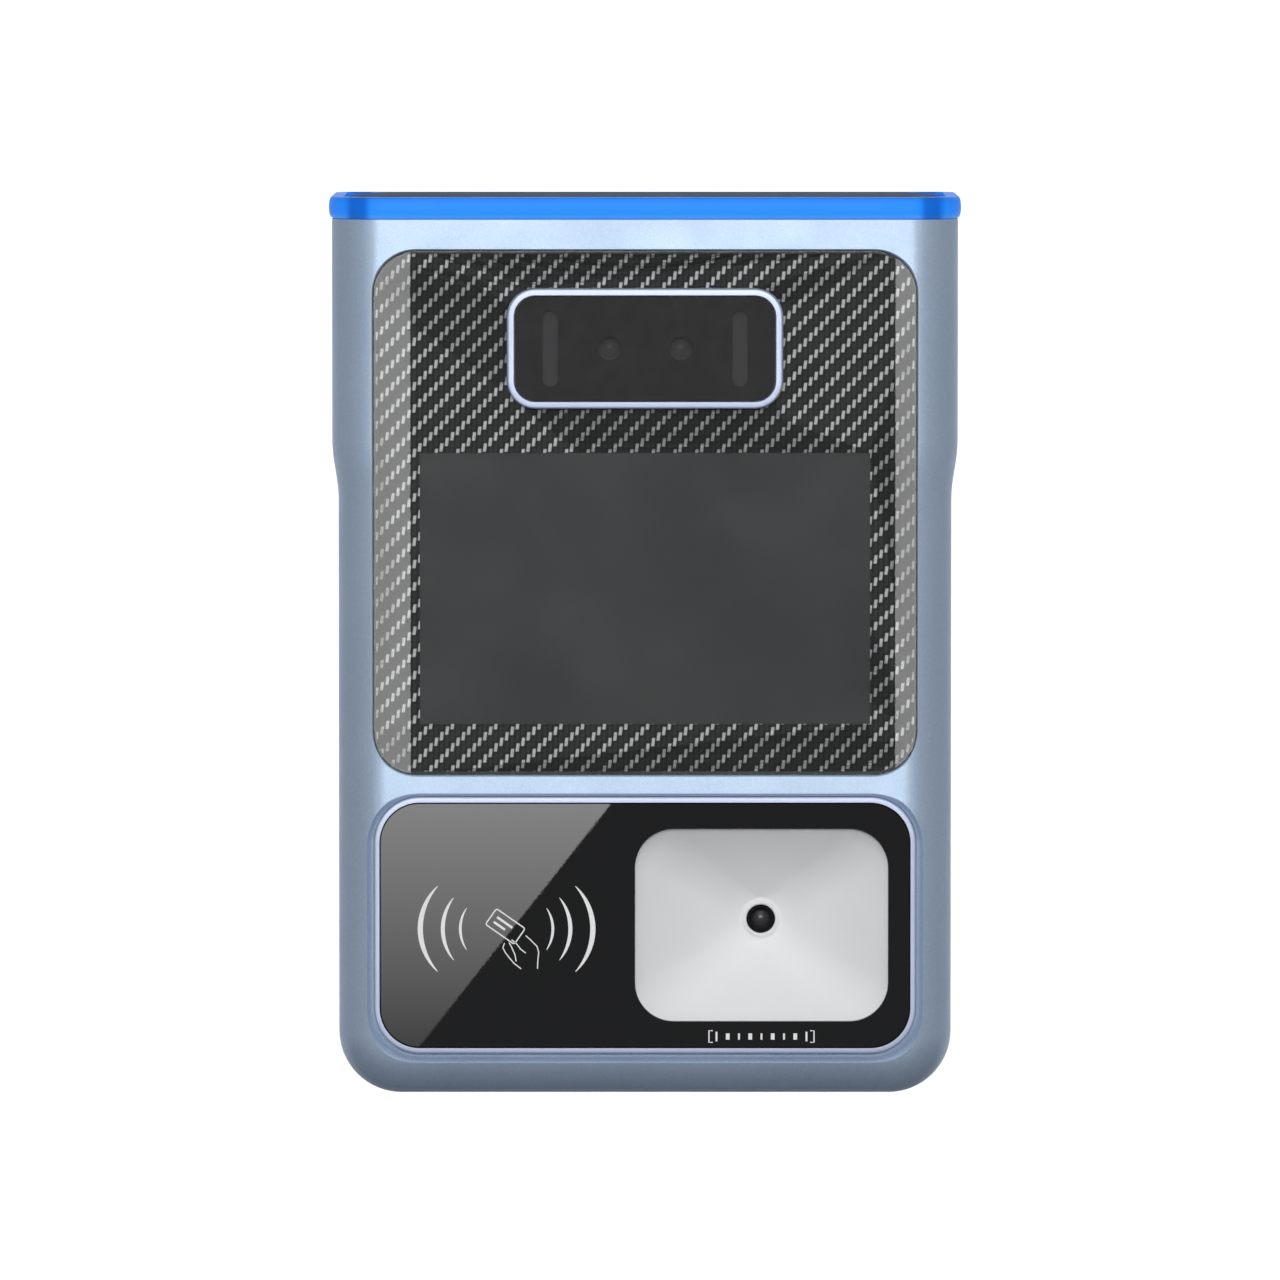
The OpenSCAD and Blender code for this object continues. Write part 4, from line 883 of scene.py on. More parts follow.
@dataclass
class FrontHousing(Assembly):
    """The front half of the case, with its soft edge, shoulder and valley."""

    edge_w: float = 12.0
    edge_d: float = 14.0
    corner: float = 15.0
    bevel: float = 0.3
    wall: float = 3.2
    roof: float = 56.0
    step: float = 1.5
    shoulder_low: float = 35.0
    shoulder_high: float = 49.4
    valley_w: float = 3.9
    valley_t: float = 2.1
    valley_fade: float = 0.78
    valley_lift: float = 0.0004
    above: float = 3.0
    glass_flare: float = 0.3
    ring_flare: float = 0.2
    cell_room: float = 0.3
    cell_corner: float = 1.0
    eye_ledge: tuple[float, float] = (3.95, 2.3)
    eye_corner: float = 3.0
    mouth_room: float = 1.8
    slots: int = 6
    slot_pitch: float = 4.0
    slot_size: tuple[float, float, float] = (1.8, 14.0, 0.85)
    vent_r: float = 4.1
    seat_r: float = 6.2
    seat_t: float = 2.5

    def outline(self, box: Span) -> list[Spot]:
        """Lays out the case seen from the front.

        Args:
            box: Extent of the front housing.

        Returns:
            Its outline, from the head's right side down and round.
        """
        waist, rise = box.x1 - self.step, self.shoulder_high - self.shoulder_low
        spots = [(box.x1, box.z1, -1.0, 0.0)]
        for i in range(25):
            s = 1 - i / 24
            half = waist + self.step * (1 - math.cos(math.pi * s)) / 2
            spots.append((half, self.shoulder_low + rise * s, -1.0, 0.0))
        cx, cz = waist - self.corner, box.z0 + self.corner
        for a in quarter(16):
            spots.append((cx + self.corner * math.cos(a), cz - self.corner * math.sin(a),
                          -math.cos(a), math.sin(a)))
        return spots + [(-x, z, -dx, dz) for x, z, dx, dz in reversed(spots)]

    def shell(self, box: Span) -> Solid:
        """Builds the uncut outside.

        Args:
            box: Extent of the front housing.

        Returns:
            The solid.
        """
        profile = [(self.bevel, box.y1), (0.0, box.y1 - self.bevel)]
        for a in quarter(20):
            profile.append((self.edge_w * (1 - math.cos(a)), box.y0 + self.edge_d * (1 - math.sin(a))))
        return Solid().sweep(self.outline(box), profile)

    def valley(self, ring: Span, face: float) -> Solid:
        """Builds the soft valley round the reader ring, for cutting.

        Args:
            ring: Extent of the reader ring.
            face: Depth of the front face.

        Returns:
            The solid.
        """
        section = [(self.valley_w * s, self.valley_t * (1 + math.cos(math.pi * s)) / 2) for s in swing(24)]
        section += [(self.valley_w, -self.above), (-self.valley_w, -self.above)]
        solid, rows = Solid(), []
        for s, sink in section:
            points = []
            for x, z, dx, dz in ring.outline(RING_CORNER, steps=16):
                k = 1 - self.valley_fade * max(0.0, -dz)
                deep = sink * k if sink > 0 else sink
                points.append((x + dx * s * k, face + deep + self.valley_lift, z + dz * s * k))
            rows.append(solid.ring(points))
        return solid.close(rows, hollow=True)

    def pocket(self, box: Span, radius: float, floor: float, face: float, flare: float) -> Solid:
        """Builds a pocket with a broken edge, for cutting.

        Args:
            box: Extent of what sits in it.
            radius: Its corner radius.
            floor: Depth of the floor.
            face: Depth of the front face.
            flare: Size of the broken edge.

        Returns:
            The solid.
        """
        return Solid().sweep(box.outline(radius + FIT, FIT, 14), [
            (0.0, floor), (0.0, face + flare), (-flare, face), (-flare, face - self.above)])

    def underside(self, box: Span) -> list[Solid]:
        """Builds the speaker's slots and the vent's bore and seat, for cutting.

        Args:
            box: Extent of the front housing.

        Returns:
            The cutters.
        """
        speaker, vent, cuts = Span.of("speaker"), Span.of("vent_plug"), []
        low, inside = box.z0 - PAST, box.z0 + self.wall + PAST
        plan = round_rect(*self.slot_size, speaker.mid_x, speaker.mid_y, 5)
        for i in range(self.slots):
            slot, shift = Solid(), self.slot_pitch * (i - (self.slots - 1) / 2)
            cuts.append(slot.close([slot.ring([(x + shift, y, z) for x, y, _, _ in plan])
                                    for z in (low, inside)]))
        for radius, top in ((self.vent_r, inside), (self.seat_r, box.z0 + self.seat_t)):
            cuts.append(Solid().turned([(radius, low), (radius, top)], vent.mid_x, vent.mid_y, Turn.HEIGHT))
        return cuts

    def openings(self, box: Span) -> list[Solid]:
        """Builds every cut of the case.

        Args:
            box: Extent of the front housing.

        Returns:
            The cutters.
        """
        face, glass, ring = box.y0, Span.of("cover_glass"), Span.of("reader_trim")
        cell, window, mouth = Span.of("lcd_cell"), Span.of("camera_trim"), Span.of("scan_funnel")
        inner = round_rect(2 * (box.x1 - self.step - self.wall), box.tall - 2 * self.wall,
                           self.corner - self.wall, 0, box.mid_z)
        cuts = [Solid().block(inner, box.y1 + PAST, -self.roof),
                self.valley(ring, face),
                self.pocket(glass, GLASS_CORNER, window.y1, face, self.glass_flare),
                self.pocket(ring, RING_CORNER, ring.y1, face, self.ring_flare)]
        room, grow = 2 * self.cell_room, 2 * self.mouth_room
        for wide, tall, radius, x, z, floor in (
            (cell.wide + room, cell.tall + room, self.cell_corner, 0, cell.mid_z, window.y1),
            (window.wide - 2 * self.eye_ledge[0], window.tall - 2 * self.eye_ledge[1], self.eye_corner, 0,
             window.mid_z, window.y1),
            (MOUTH_WIDE + grow, MOUTH_TALL + grow, MOUTH_CORNER + self.mouth_room, mouth.mid_x,
             ring.mid_z, ring.y1),
        ):
            cuts.append(Solid().block(round_rect(wide, tall, radius, x, z), PAST - self.roof, floor - PAST))
        return cuts + self.underside(box)

    def build(self) -> None:
        """Builds the front of the case."""
        box = Span.of("front_housing")
        mesh = carved("front_case", self.shell(box), self.openings(box))
        self.add("front_case", mesh, "housing", ("front_housing",), 34, even=True)


@dataclass
class TopLight(Assembly):
    """The lit guide round the top edge, and the cap inside it."""

    edge_w: float = 12.75
    edge_d: float = 14.75
    rear_r: float = 5.0
    rim: float = 3.4
    band: float = 9.0
    nose: float = 0.9
    fullness: float = 0.8
    foot: float = 0.25
    head: float = 0.05
    lip: tuple[float, float] = (0.4, 0.3)
    least_r: float = 1.0
    lid_t: float = 2.3
    lid_edge: float = 0.9
    crown: float = 15.0
    crown_drop: float = 1.1
    boss_r: float = 3.0
    boss_bevel: float = 0.3
    boss_top: float = 0.4
    bore_r: float = 1.25
    bore_deep: float = 2.0
    head_r: float = 2.5

    def plan(self, box: Span, inset: float) -> list[tuple[float, float]]:
        """Lays out the guide seen from above.

        Args:
            box: Extent of the guide.
            inset: How far inside its outer edge.

        Returns:
            Points along X and Y.
        """
        half, front, rear = box.x1 - inset, box.y0 + inset, box.y1 - inset
        ew, ed, rr = (max(r - inset, self.least_r) for r in (self.edge_w, self.edge_d, self.rear_r))
        side = [(half - rr + rr * math.sin(a), rear - rr + rr * math.cos(a)) for a in quarter(10)]
        side += [(half - ew + ew * math.cos(a), front + ed - ed * math.sin(a)) for a in quarter(24)]
        return side + [(-x, y) for x, y in reversed(side)]

    def stack(self, box: Span, levels: Profile, hollow: bool = False) -> Solid:
        """Stacks plans into a solid.

        Args:
            box: Extent of the guide.
            levels: Inset and height of each plan.
            hollow: Join the last to the first, in place of two lids.

        Returns:
            The solid.
        """
        solid = Solid()
        return solid.close([solid.ring([(x, y, z) for x, y in self.plan(box, inset)])
                            for inset, z in levels], hollow)

    def band_levels(self, box: Span, cap_low: float) -> Profile:
        """Lays out the guide's section: a bullnose, a lip and the ledge under the cap.

        Args:
            box: Extent of the guide.
            cap_low: Height of the cap's underside.

        Returns:
            Inset and height of each plan.
        """
        levels = [(self.nose, box.z0)]
        tall = box.tall - self.foot - self.head
        for i in range(13):
            a = math.pi * i / 12
            levels.append((self.nose * (1 - math.sin(a) ** self.fullness),
                           box.z0 + self.foot + tall * (1 - math.cos(a)) / 2))
        return levels + [(self.rim - self.lip[0], box.z1), (self.rim, box.z1 - self.lip[1]),
                         (self.rim, cap_low), (self.band, cap_low), (self.band, box.z0)]

    def cap_levels(self, cap: Span, cap_low: float) -> Profile:
        """Lays out the cap's section: a round edge and a shallow crown.

        Args:
            cap: Extent of the cap.
            cap_low: Height of its underside.

        Returns:
            Inset and height of each plan.
        """
        edge, top = self.rim + FIT, cap.z1 - self.crown_drop
        levels = [(edge, cap_low)]
        levels += [(edge + self.lid_edge * (1 - math.cos(a)), top - self.lid_edge * (1 - math.sin(a)))
                   for a in quarter(6)]
        return levels + [(edge + self.lid_edge + self.crown * i / 8,
                          cap.z1 - self.crown_drop * (1 - i / 8) ** 2) for i in range(1, 9)]

    def build(self) -> None:
        """Builds the guide, the cap and its four bosses."""
        box, cap, screws = Span.of("light_guide"), Span.of("top_cap"), Span.of("cap_screws")
        cap_low = cap.z1 - self.lid_t
        guide = self.stack(box, self.band_levels(box, cap_low), hollow=True)
        self.add("lit_band", guide, "light_guide", ("light_guide",), 40)
        lid = self.stack(box, self.cap_levels(cap, cap_low))
        top = cap_low + self.boss_top
        boss = [(self.bore_r, box.z0 + self.bore_deep), (self.bore_r, box.z0),
                (self.boss_r - self.boss_bevel, box.z0), (self.boss_r, box.z0 + self.boss_bevel),
                (self.boss_r, top), (self.boss_r / 10, top)]
        for x in (screws.x0 + self.head_r, screws.x1 - self.head_r):
            for y in (screws.y0 + self.head_r, screws.y1 - self.head_r):
                lid.turned(boss, x, y, Turn.HEIGHT, 32)
        self.add("roof_cap", lid, "cap", ("top_cap",), 40)


@dataclass
class DisplayPanel(Assembly):
    """The upper glass, and the dark border line behind it."""

    edge: float = 0.3
    bend: float = 0.1
    eye_corner: float = 6.85
    border_in: float = 0.1
    border_out: float = 0.7
    border_deep: tuple[float, float] = (0.25, 0.1)

    def build(self) -> None:
        """Builds the glass and the border line."""
        glass, hole = Span.of("cover_glass"), Span.of("camera_trim")
        outer, front = glass.outline(GLASS_CORNER, steps=16), glass.y0
        pane = Solid().sweep(outer, [(0.0, glass.y1), (0.0, front + self.edge),
                                     (self.bend, front + self.bend), (self.edge, front)])
        eye = eye_cutter(hole.outline(self.eye_corner, FIT), glass)
        self.add("display_glass", carved("display_glass", pane, [eye]), "cover_glass",
                 ("cover_glass",), 12, even=True)
        low, high = (glass.y1 - deep for deep in self.border_deep)
        line = Solid().sweep(outer, [(self.border_in, low), (self.border_out, low), (self.border_out, high),
                                     (self.border_in, high)], hollow=True)
        self.add("glass_border", line, "black_plastic")


@dataclass
class CameraBay(Assembly):
    """The ring, window and lenses of the camera."""

    radius: float = 6.7
    face: float = 1.5
    ledge: float = 1.5
    soft: float = 0.45
    slack: float = 0.1
    bar_w: float = 4.0
    bar_inset: float = 0.15
    lap: float = 0.1
    mask_in: float = 0.3
    bulge: float = 0.75
    groove_w: float = 0.25
    groove_t: float = 0.15

    def ring_profile(self, box: Span, seat: float) -> Profile:
        """Lays out the section of the trim ring.

        Args:
            box: Extent of the ring.
            seat: Depth of the ledge under the glass.

        Returns:
            Inset and depth of each point.
        """
        soft, inside = self.soft, self.face + self.ledge
        profile = [(0.0, box.y1)]
        profile += [(soft * (1 - math.cos(a)), box.y0 + soft * (1 - math.sin(a))) for a in quarter(5)]
        profile += [(self.face - soft * math.cos(a), box.y0 + soft * 0.9 * (1 - math.sin(a)))
                    for a in reversed(quarter(5))]
        return profile + [(self.face, seat), (inside, seat), (inside, box.y1)]

    def trim(self, name: str, node: str, seat: float, steps: int) -> None:
        """Builds the trim ring.

        Args:
            name: Its name.
            node: The CAD node that it replaces.
            seat: Depth of the ledge under the glass.
            steps: Steps in each corner.
        """
        box = Span.of(node)
        ring = Solid().sweep(box.outline(self.radius, steps=steps), self.ring_profile(box, seat), hollow=True)
        self.add(name, ring, "trim", (node,), 40)

    def mask(self, shape: list[Spot], window: Span, lens: Span) -> bpy.types.Mesh:
        """Builds the printed mask in the window, open over the bars and the lenses.

        Args:
            shape: The window's outline.
            window: Extent of the window.
            lens: Extent of the two lenses.

        Returns:
            The mesh.
        """
        bars, half, radius = Span.of("fill_light_bars"), self.bar_w / 2, lens.tall / 2
        ends = (window.y1 + PAST, window.y0 - PAST)
        holes = [Solid().block(round_rect(self.bar_w - 2 * self.lap, bars.tall - 2 * self.lap,
                                          half - self.bar_inset, x, bars.mid_z, 8), *ends)
                 for x in (bars.x0 + half, bars.x1 - half)]
        holes += [Solid().turned([(radius - self.lap, y) for y in ends], x, lens.mid_z)
                  for x in (lens.x0 + radius, lens.x1 - radius)]
        sheet = Solid().sweep(shape, [(self.mask_in, window.y1 - 0.1), (self.mask_in, window.y0 + 0.3)])
        return carved("camera_mask", sheet, holes)

    def build(self) -> None:
        """Builds the ring, the window with its mask, and the two lenses."""
        window, lens = Span.of("camera_window"), Span.of("camera_lenses")
        self.trim("camera_ring", "camera_trim", window.y1, 14)
        shape = window.outline(self.radius - self.face - self.slack)
        pane = Solid().sweep(shape, [(0.0, window.y1), (0.0, window.y0 + BEVEL), (BEVEL, window.y0)])
        self.add("camera_pane", pane, "smoked_window", ("camera_window",), 12, even=True)
        self.add("camera_mask", self.mask(shape, window, lens), "window_mask")
        radius, rim, discs = lens.tall / 2, lens.y0 + self.bulge, Solid()
        eye = radius - 2 * self.groove_w
        profile = [(POLE, lens.y1), (radius, lens.y1), (radius, rim),
                   (radius - self.groove_w, rim - self.groove_t), (eye, rim)]
        for x in (lens.x0 + radius, lens.x1 - radius):
            discs.turned(profile + dome(eye, lens.y0, self.bulge), x, lens.mid_z)
        self.add("camera_eyes", discs, "camera_coating", ("camera_lenses",), 40)


@dataclass
class ReaderPanel(CameraBay):
    """The ring and black glass of the card reader, with its printed marks."""

    radius: float = RING_CORNER
    face: float = 1.3
    edge: float = 0.25
    mark_x: float = -33.2
    mark_z: float = -67.4
    ink: float = 0.03
    ink_gap: float = 0.005
    tip_w: float = 0.12
    waves: tuple = ((16.5, 10.3, 20.7, 1.25), (12.7, 7.5, 15.3, 0.96), (9.6, 5.0, 11.1, 0.65))
    card_size: tuple[float, float, float] = (8.4, 4.6, 0.5)
    card_at: tuple[float, float] = (-0.3, 0.6)
    card_tilt: float = -35.0
    card_lines: tuple = ((-2.9, 1.6, 0.7), (-2.9, 0.4, -0.7))
    hand: tuple = (
        [(4.6, -1.6), (6.0, -2.9), (7.3, -4.2), (7.7, -5.6), (7.5, -7.6), (7.4, -9.6)],
        [(1.2, -2.6), (2.4, -3.6), (3.4, -4.9), (4.6, -5.8)],
        [(-0.5, -3.4), (-0.9, -4.5), (-0.3, -5.7), (0.7, -7.0), (1.8, -8.3), (3.5, -9.6)],
        [(0.6, -3.3), (1.3, -4.6), (2.0, -6.2), (2.3, -7.8)])
    card_w: float = 0.3
    line_w: float = 0.55
    hand_w: float = 0.26
    dash_up: float = 4.1
    dash_pitch: float = 2.7
    dash_half: tuple[float, float] = (1.15, 0.75)
    dash_w: tuple[float, float] = (0.45, 0.9)
    bracket_x: float = 12.6
    bracket_arm: float = 0.9
    bracket_half: float = 1.4

    def stroke(self, solid: Solid, line: list[tuple[float, float]], widths: list[float],
               front: float) -> None:
        """Prints one line of varying width.

        Args:
            solid: Where it goes.
            line: Its middle points along X and Z, from the centre of the marks.
            widths: Its width at each point.
            front: Depth of the glass's face.
        """
        left, right = [], []
        for i, (x, z) in enumerate(line):
            ax, az = line[max(i - 1, 0)]
            bx, bz = line[min(i + 1, len(line) - 1)]
            long = math.hypot(bx - ax, bz - az) or 1.0
            nx, nz = -(bz - az) / long * widths[i] / 2, (bx - ax) / long * widths[i] / 2
            left.append((self.mark_x + x + nx, self.mark_z + z + nz))
            right.append((self.mark_x + x - nx, self.mark_z + z - nz))
        edge = left + right[::-1]
        low = solid.ring([(x, front, z) for x, z in edge])
        high = solid.ring([(x, front - self.ink, z) for x, z in edge])
        solid.bridge(low, high)
        count = len(left)
        for row in (low, high):
            for i in range(count - 1):
                solid.bm.faces.new((row[i], row[i + 1], row[-2 - i], row[-1 - i]))

    def wave(self, solid: Solid, side: int, tip: tuple[float, float], mid: float, width: float,
             front: float) -> None:
        """Prints one radio wave.

        Args:
            solid: Where it goes.
            side: -1 on the left and 1 on the right.
            tip: Place of its upper end.
            mid: How far out its middle is.
            width: Its width in the middle.
            front: Depth of the glass's face.
        """
        rise = mid - tip[0]
        radius = (rise * rise + tip[1] * tip[1]) / (2 * rise)
        reach = math.asin(min(tip[1] / radius, 1.0))
        line, widths = [], []
        for share in swing(24):
            a = reach * share
            line.append((side * (mid - radius + radius * math.cos(a)), radius * math.sin(a)))
            widths.append(self.tip_w + (width - self.tip_w) * math.cos(math.pi / 2 * share) ** 0.8)
        self.stroke(solid, line, widths, front)

    def card(self, solid: Solid, front: float) -> None:
        """Prints a tilted card with plain lines, held by a simple hand.

        Args:
            solid: Where it goes.
            front: Depth of the glass's face.
        """
        tilt, (at_x, at_z) = math.radians(self.card_tilt), self.card_at
        cos, sin = math.cos(tilt), math.sin(tilt)

        def turned(x: float, z: float) -> tuple[float, float]:
            """Tilts a point of the card."""
            return at_x + x * cos - z * sin, at_z + x * sin + z * cos

        edge = [turned(x, z) for x, z, _, _ in round_rect(*self.card_size, steps=3)]
        self.stroke(solid, edge + edge[:1], [self.card_w] * (len(edge) + 1), front)
        for x0, x1, z in self.card_lines:
            self.stroke(solid, [turned(x0, z), turned(x1, z)], [self.line_w] * 2, front)
        for line in self.hand:
            self.stroke(solid, line, [self.hand_w] * len(line), front)

    def scan_marks(self, solid: Solid, mouth: Span, front: float) -> None:
        """Prints a row of scan dashes under the mouth.

        Args:
            solid: Where it goes.
            mouth: Extent of the funnel.
            front: Depth of the glass's face.
        """
        mid, z = mouth.mid_x - self.mark_x, Span.of("reader_trim").z0 + self.dash_up - self.mark_z
        for i in range(9):
            x, half = mid + (i - 4) * self.dash_pitch, self.dash_half[0 if i in (0, 8) else 1]
            self.stroke(solid, [(x, z - half), (x, z + half)], [self.dash_w[i % 2]] * 2, front)
        low, high = z - self.bracket_half, z + self.bracket_half
        for side in (-1, 1):
            x = mid + side * self.bracket_x
            arm = x - side * self.bracket_arm
            self.stroke(solid, [(arm, high), (x, high), (x, low), (arm, low)], [self.card_w] * 4, front)

    def build(self) -> None:
        """Builds the ring, the glass and its marks."""
        glass, mouth = Span.of("reader_glass"), Span.of("scan_funnel")
        self.trim("reader_ring", "reader_trim", glass.y1, 16)
        pane = Solid().sweep(glass.outline(self.radius - self.face - self.slack, steps=16),
                             [(0.0, glass.y1), (0.0, glass.y0 + self.edge), (self.edge, glass.y0)])
        eye = eye_cutter(round_rect(MOUTH_WIDE, MOUTH_TALL, MOUTH_CORNER, mouth.mid_x,
                                    Span.of("reader_trim").mid_z, 16), glass)
        self.add("reader_pane", carved("reader_pane", pane, [eye]), "reader_glass", ("reader_glass",),
                 12, even=True)
        marks, front = Solid(), glass.y0 - self.ink_gap
        for side in (-1, 1):
            for tip_x, tip_z, mid, width in self.waves:
                self.wave(marks, side, (tip_x, tip_z), mid, width, front)
        self.card(marks, front)
        self.scan_marks(marks, mouth, front)
        self.add("reader_marks", marks, "mark", degrees=30)


@dataclass
class ScanMouth(Assembly):
    """The scan funnel with its rounded lip, barrel and lens."""

    floor_r: float = 5.2
    deep: float = 18.0
    bend: tuple[float, float] = (0.012, 0.45)
    skin: float = 1.6
    rim_t: float = 1.4
    lip: tuple = ((4.75, 0.0), (4.5, 0.12), (4.35, 0.45), (4.15, 0.7), (3.9, 0.8), (3.65, 0.7), (3.45, 0.4))
    flange_w: float = 4.6
    flange_y: tuple[float, float] = (-54.2, -56.0)
    lug_r: tuple[float, float] = (1.4, 3.6)
    lug_x: float = 18.0
    lug_out: float = 5.5
    tube_r: float = 2.08
    throat_r: float = 2.65
    nose_r: float = 2.8
    nose_bevel: float = 0.25
    bulge: float = 0.6

    def loft(self, solid: Solid, x: float, z: float, grow: float, levels: Profile) -> list[list]:
        """Blends the square mouth into the round floor.

        Args:
            solid: Where it goes.
            x: Middle along X.
            z: Middle along Z.
            grow: How far outside the inner face.
            levels: Share of the way down, and depth, of each row.

        Returns:
            The rows.
        """
        mouth = round_rect(MOUTH_WIDE + 2 * grow, MOUTH_TALL + 2 * grow, MOUTH_CORNER + grow, x, z, 12)
        rows = []
        for share, y in levels:
            points = []
            for mx, mz, dx, dz in mouth:
                fx, fz = x - dx * (self.floor_r + grow), z - dz * (self.floor_r + grow)
                points.append((mx + (fx - mx) * share, y, mz + (fz - mz) * share))
            rows.append(solid.ring(points))
        return solid.join(rows)

    def funnel(self, x: float, z: float, top: float) -> Solid:
        """Builds the funnel with its lip, flange and screw lugs.

        Args:
            x: Middle along X.
            z: Middle along Z.
            top: Depth of the mouth.

        Returns:
            The solid.
        """
        solid, back, floor = Solid(), Span.of("scan_funnel").y1, top + self.deep
        share, sink = self.bend
        inner = self.loft(solid, x, z, 0.0, [(0.0, top), (share, top + sink)]
                          + [(i / 8, top + self.deep * i / 8) for i in range(1, 9)])
        outline = round_rect(MOUTH_WIDE, MOUTH_TALL, MOUTH_CORNER, x, z, 12)
        levels = [(r, floor - rise) for r, rise in self.lip] + [(self.lip[-1][0], back)]
        lip = solid.join([solid.ring([(x - dx * r, y, z - dz * r) for _, _, dx, dz in outline])
                          for r, y in levels])
        solid.bridge(inner[-1], lip[0])
        outer = self.loft(solid, x, z, self.skin, [(0.0, top), (0.0, top + self.rim_t), (1.0, back)])
        solid.bridge(lip[-1], outer[-1])
        solid.bridge(inner[0], outer[0])
        wide, (low, high), (bore, lug) = self.flange_w, self.flange_y, self.lug_r
        solid.sweep(round_rect(MOUTH_WIDE + 2 * wide, MOUTH_TALL + 2 * wide, MOUTH_CORNER + wide, x, z, 12),
                    [(0.0, low), (0.0, high), (wide, high), (wide, low)], hollow=True)
        for sx in (-1, 1):
            for sz in (-1, 1):
                solid.turned([(bore, high), (lug, high), (lug, low), (bore, low)], x + self.lug_x * sx,
                             z + sz * (MOUTH_TALL / 2 + self.lug_out), steps=32)
        return solid

    def build(self) -> None:
        """Builds the funnel, the barrel and the lens."""
        x, z, top = Span.of("scan_funnel").mid_x, Span.of("reader_trim").mid_z, Span.of("reader_glass").y1
        self.add("scan_mouth", self.funnel(x, z, top), "funnel", ("scan_funnel",), 38)
        barrel, floor = Span.of("scan_barrel"), top + self.deep
        r, cut = barrel.tall / 2, self.nose_bevel
        tube = Solid().turned([(self.tube_r, barrel.y1), (r, barrel.y1), (r, barrel.y0 + cut),
                               (r - cut, barrel.y0), (self.nose_r, barrel.y0),
                               (self.throat_r, barrel.y0 + 0.2), (self.throat_r, floor + 0.4),
                               (self.tube_r, floor + 0.45), (self.tube_r, floor + 1.9)], x, z)
        self.add("scanner_barrel", tube, "barrel_black", ("scan_barrel",), 30)
        lens = Span.of("scan_lens")
        r = lens.tall / 2
        profile = [(POLE, lens.y1), (r, lens.y1), (r, lens.y0 + self.bulge)]
        eye = Solid().turned(profile + dome(r, lens.y0, self.bulge), x, z)
        self.add("scanner_eye", eye, "lens", ("scan_lens",), 40)


@dataclass
class CarriedParts(Assembly):
    """The nodes that keep their CAD shape and get their finish."""

    smooth: tuple[str, ...] = ("rear_housing",)
    sharp: float = 28.0
    weld: float = 1e-6

    def even_group(self) -> bpy.types.NodeTree:
        """Builds the shading group for curved walls.

        Returns:
            The group.
        """
        tree = bpy.data.node_groups.new("curved_walls", "GeometryNodeTree")
        tree.interface.new_socket("Geometry", in_out="INPUT", socket_type="NodeSocketGeometry")
        tree.interface.new_socket("Geometry", in_out="OUTPUT", socket_type="NodeSocketGeometry")
        start, end = tree.nodes.new("NodeGroupInput"), tree.nodes.new("NodeGroupOutput")
        merge = tree.nodes.new("GeometryNodeMergeByDistance")
        merge.inputs["Distance"].default_value = self.weld
        plain = tree.nodes.new("GeometryNodeRemoveAttribute")
        plain.inputs["Name"].default_value = "custom_normal"
        faces = tree.nodes.new("GeometryNodeSetShadeSmooth")
        edges = tree.nodes.new("GeometryNodeSetShadeSmooth")
        edges.domain = "EDGE"
        edges.inputs["Shade Smooth"].default_value = False
        angle = tree.nodes.new("GeometryNodeInputMeshEdgeAngle")
        sharp = tree.nodes.new("ShaderNodeMath")
        sharp.operation = "GREATER_THAN"
        sharp.inputs[1].default_value = math.radians(self.sharp)
        tree.links.new(angle.outputs[0], sharp.inputs[0])
        tree.links.new(sharp.outputs[0], edges.inputs["Selection"])
        last = start.outputs[0]
        for node in (merge, plain, faces, edges):
            tree.links.new(last, node.inputs["Geometry"])
            last = node.outputs["Geometry"]
        tree.links.new(last, end.inputs[0])
        return tree

    def build(self) -> None:
        """Dresses every node in its slot's finish."""
        group = self.even_group()
        for part in frame["record"]["subparts"]:
            node = frame["nodes"][part["node"]]
            material = self.book.get(part["material_slot"])
            if not node.material_slots:
                node.data.materials.append(material)
            for slot in node.material_slots:
                slot.link = "OBJECT"
                slot.material = material
            if part["node"] in self.smooth:
                node.modifiers.new("curved_walls", "NODES").node_group = group
                even_shading(node)
            self.pieces.append(part["node"])
            log.info("CarriedParts: %s, finish %s", part["node"], part["material_slot"])


# ---------------------------------------------------------------- the studio


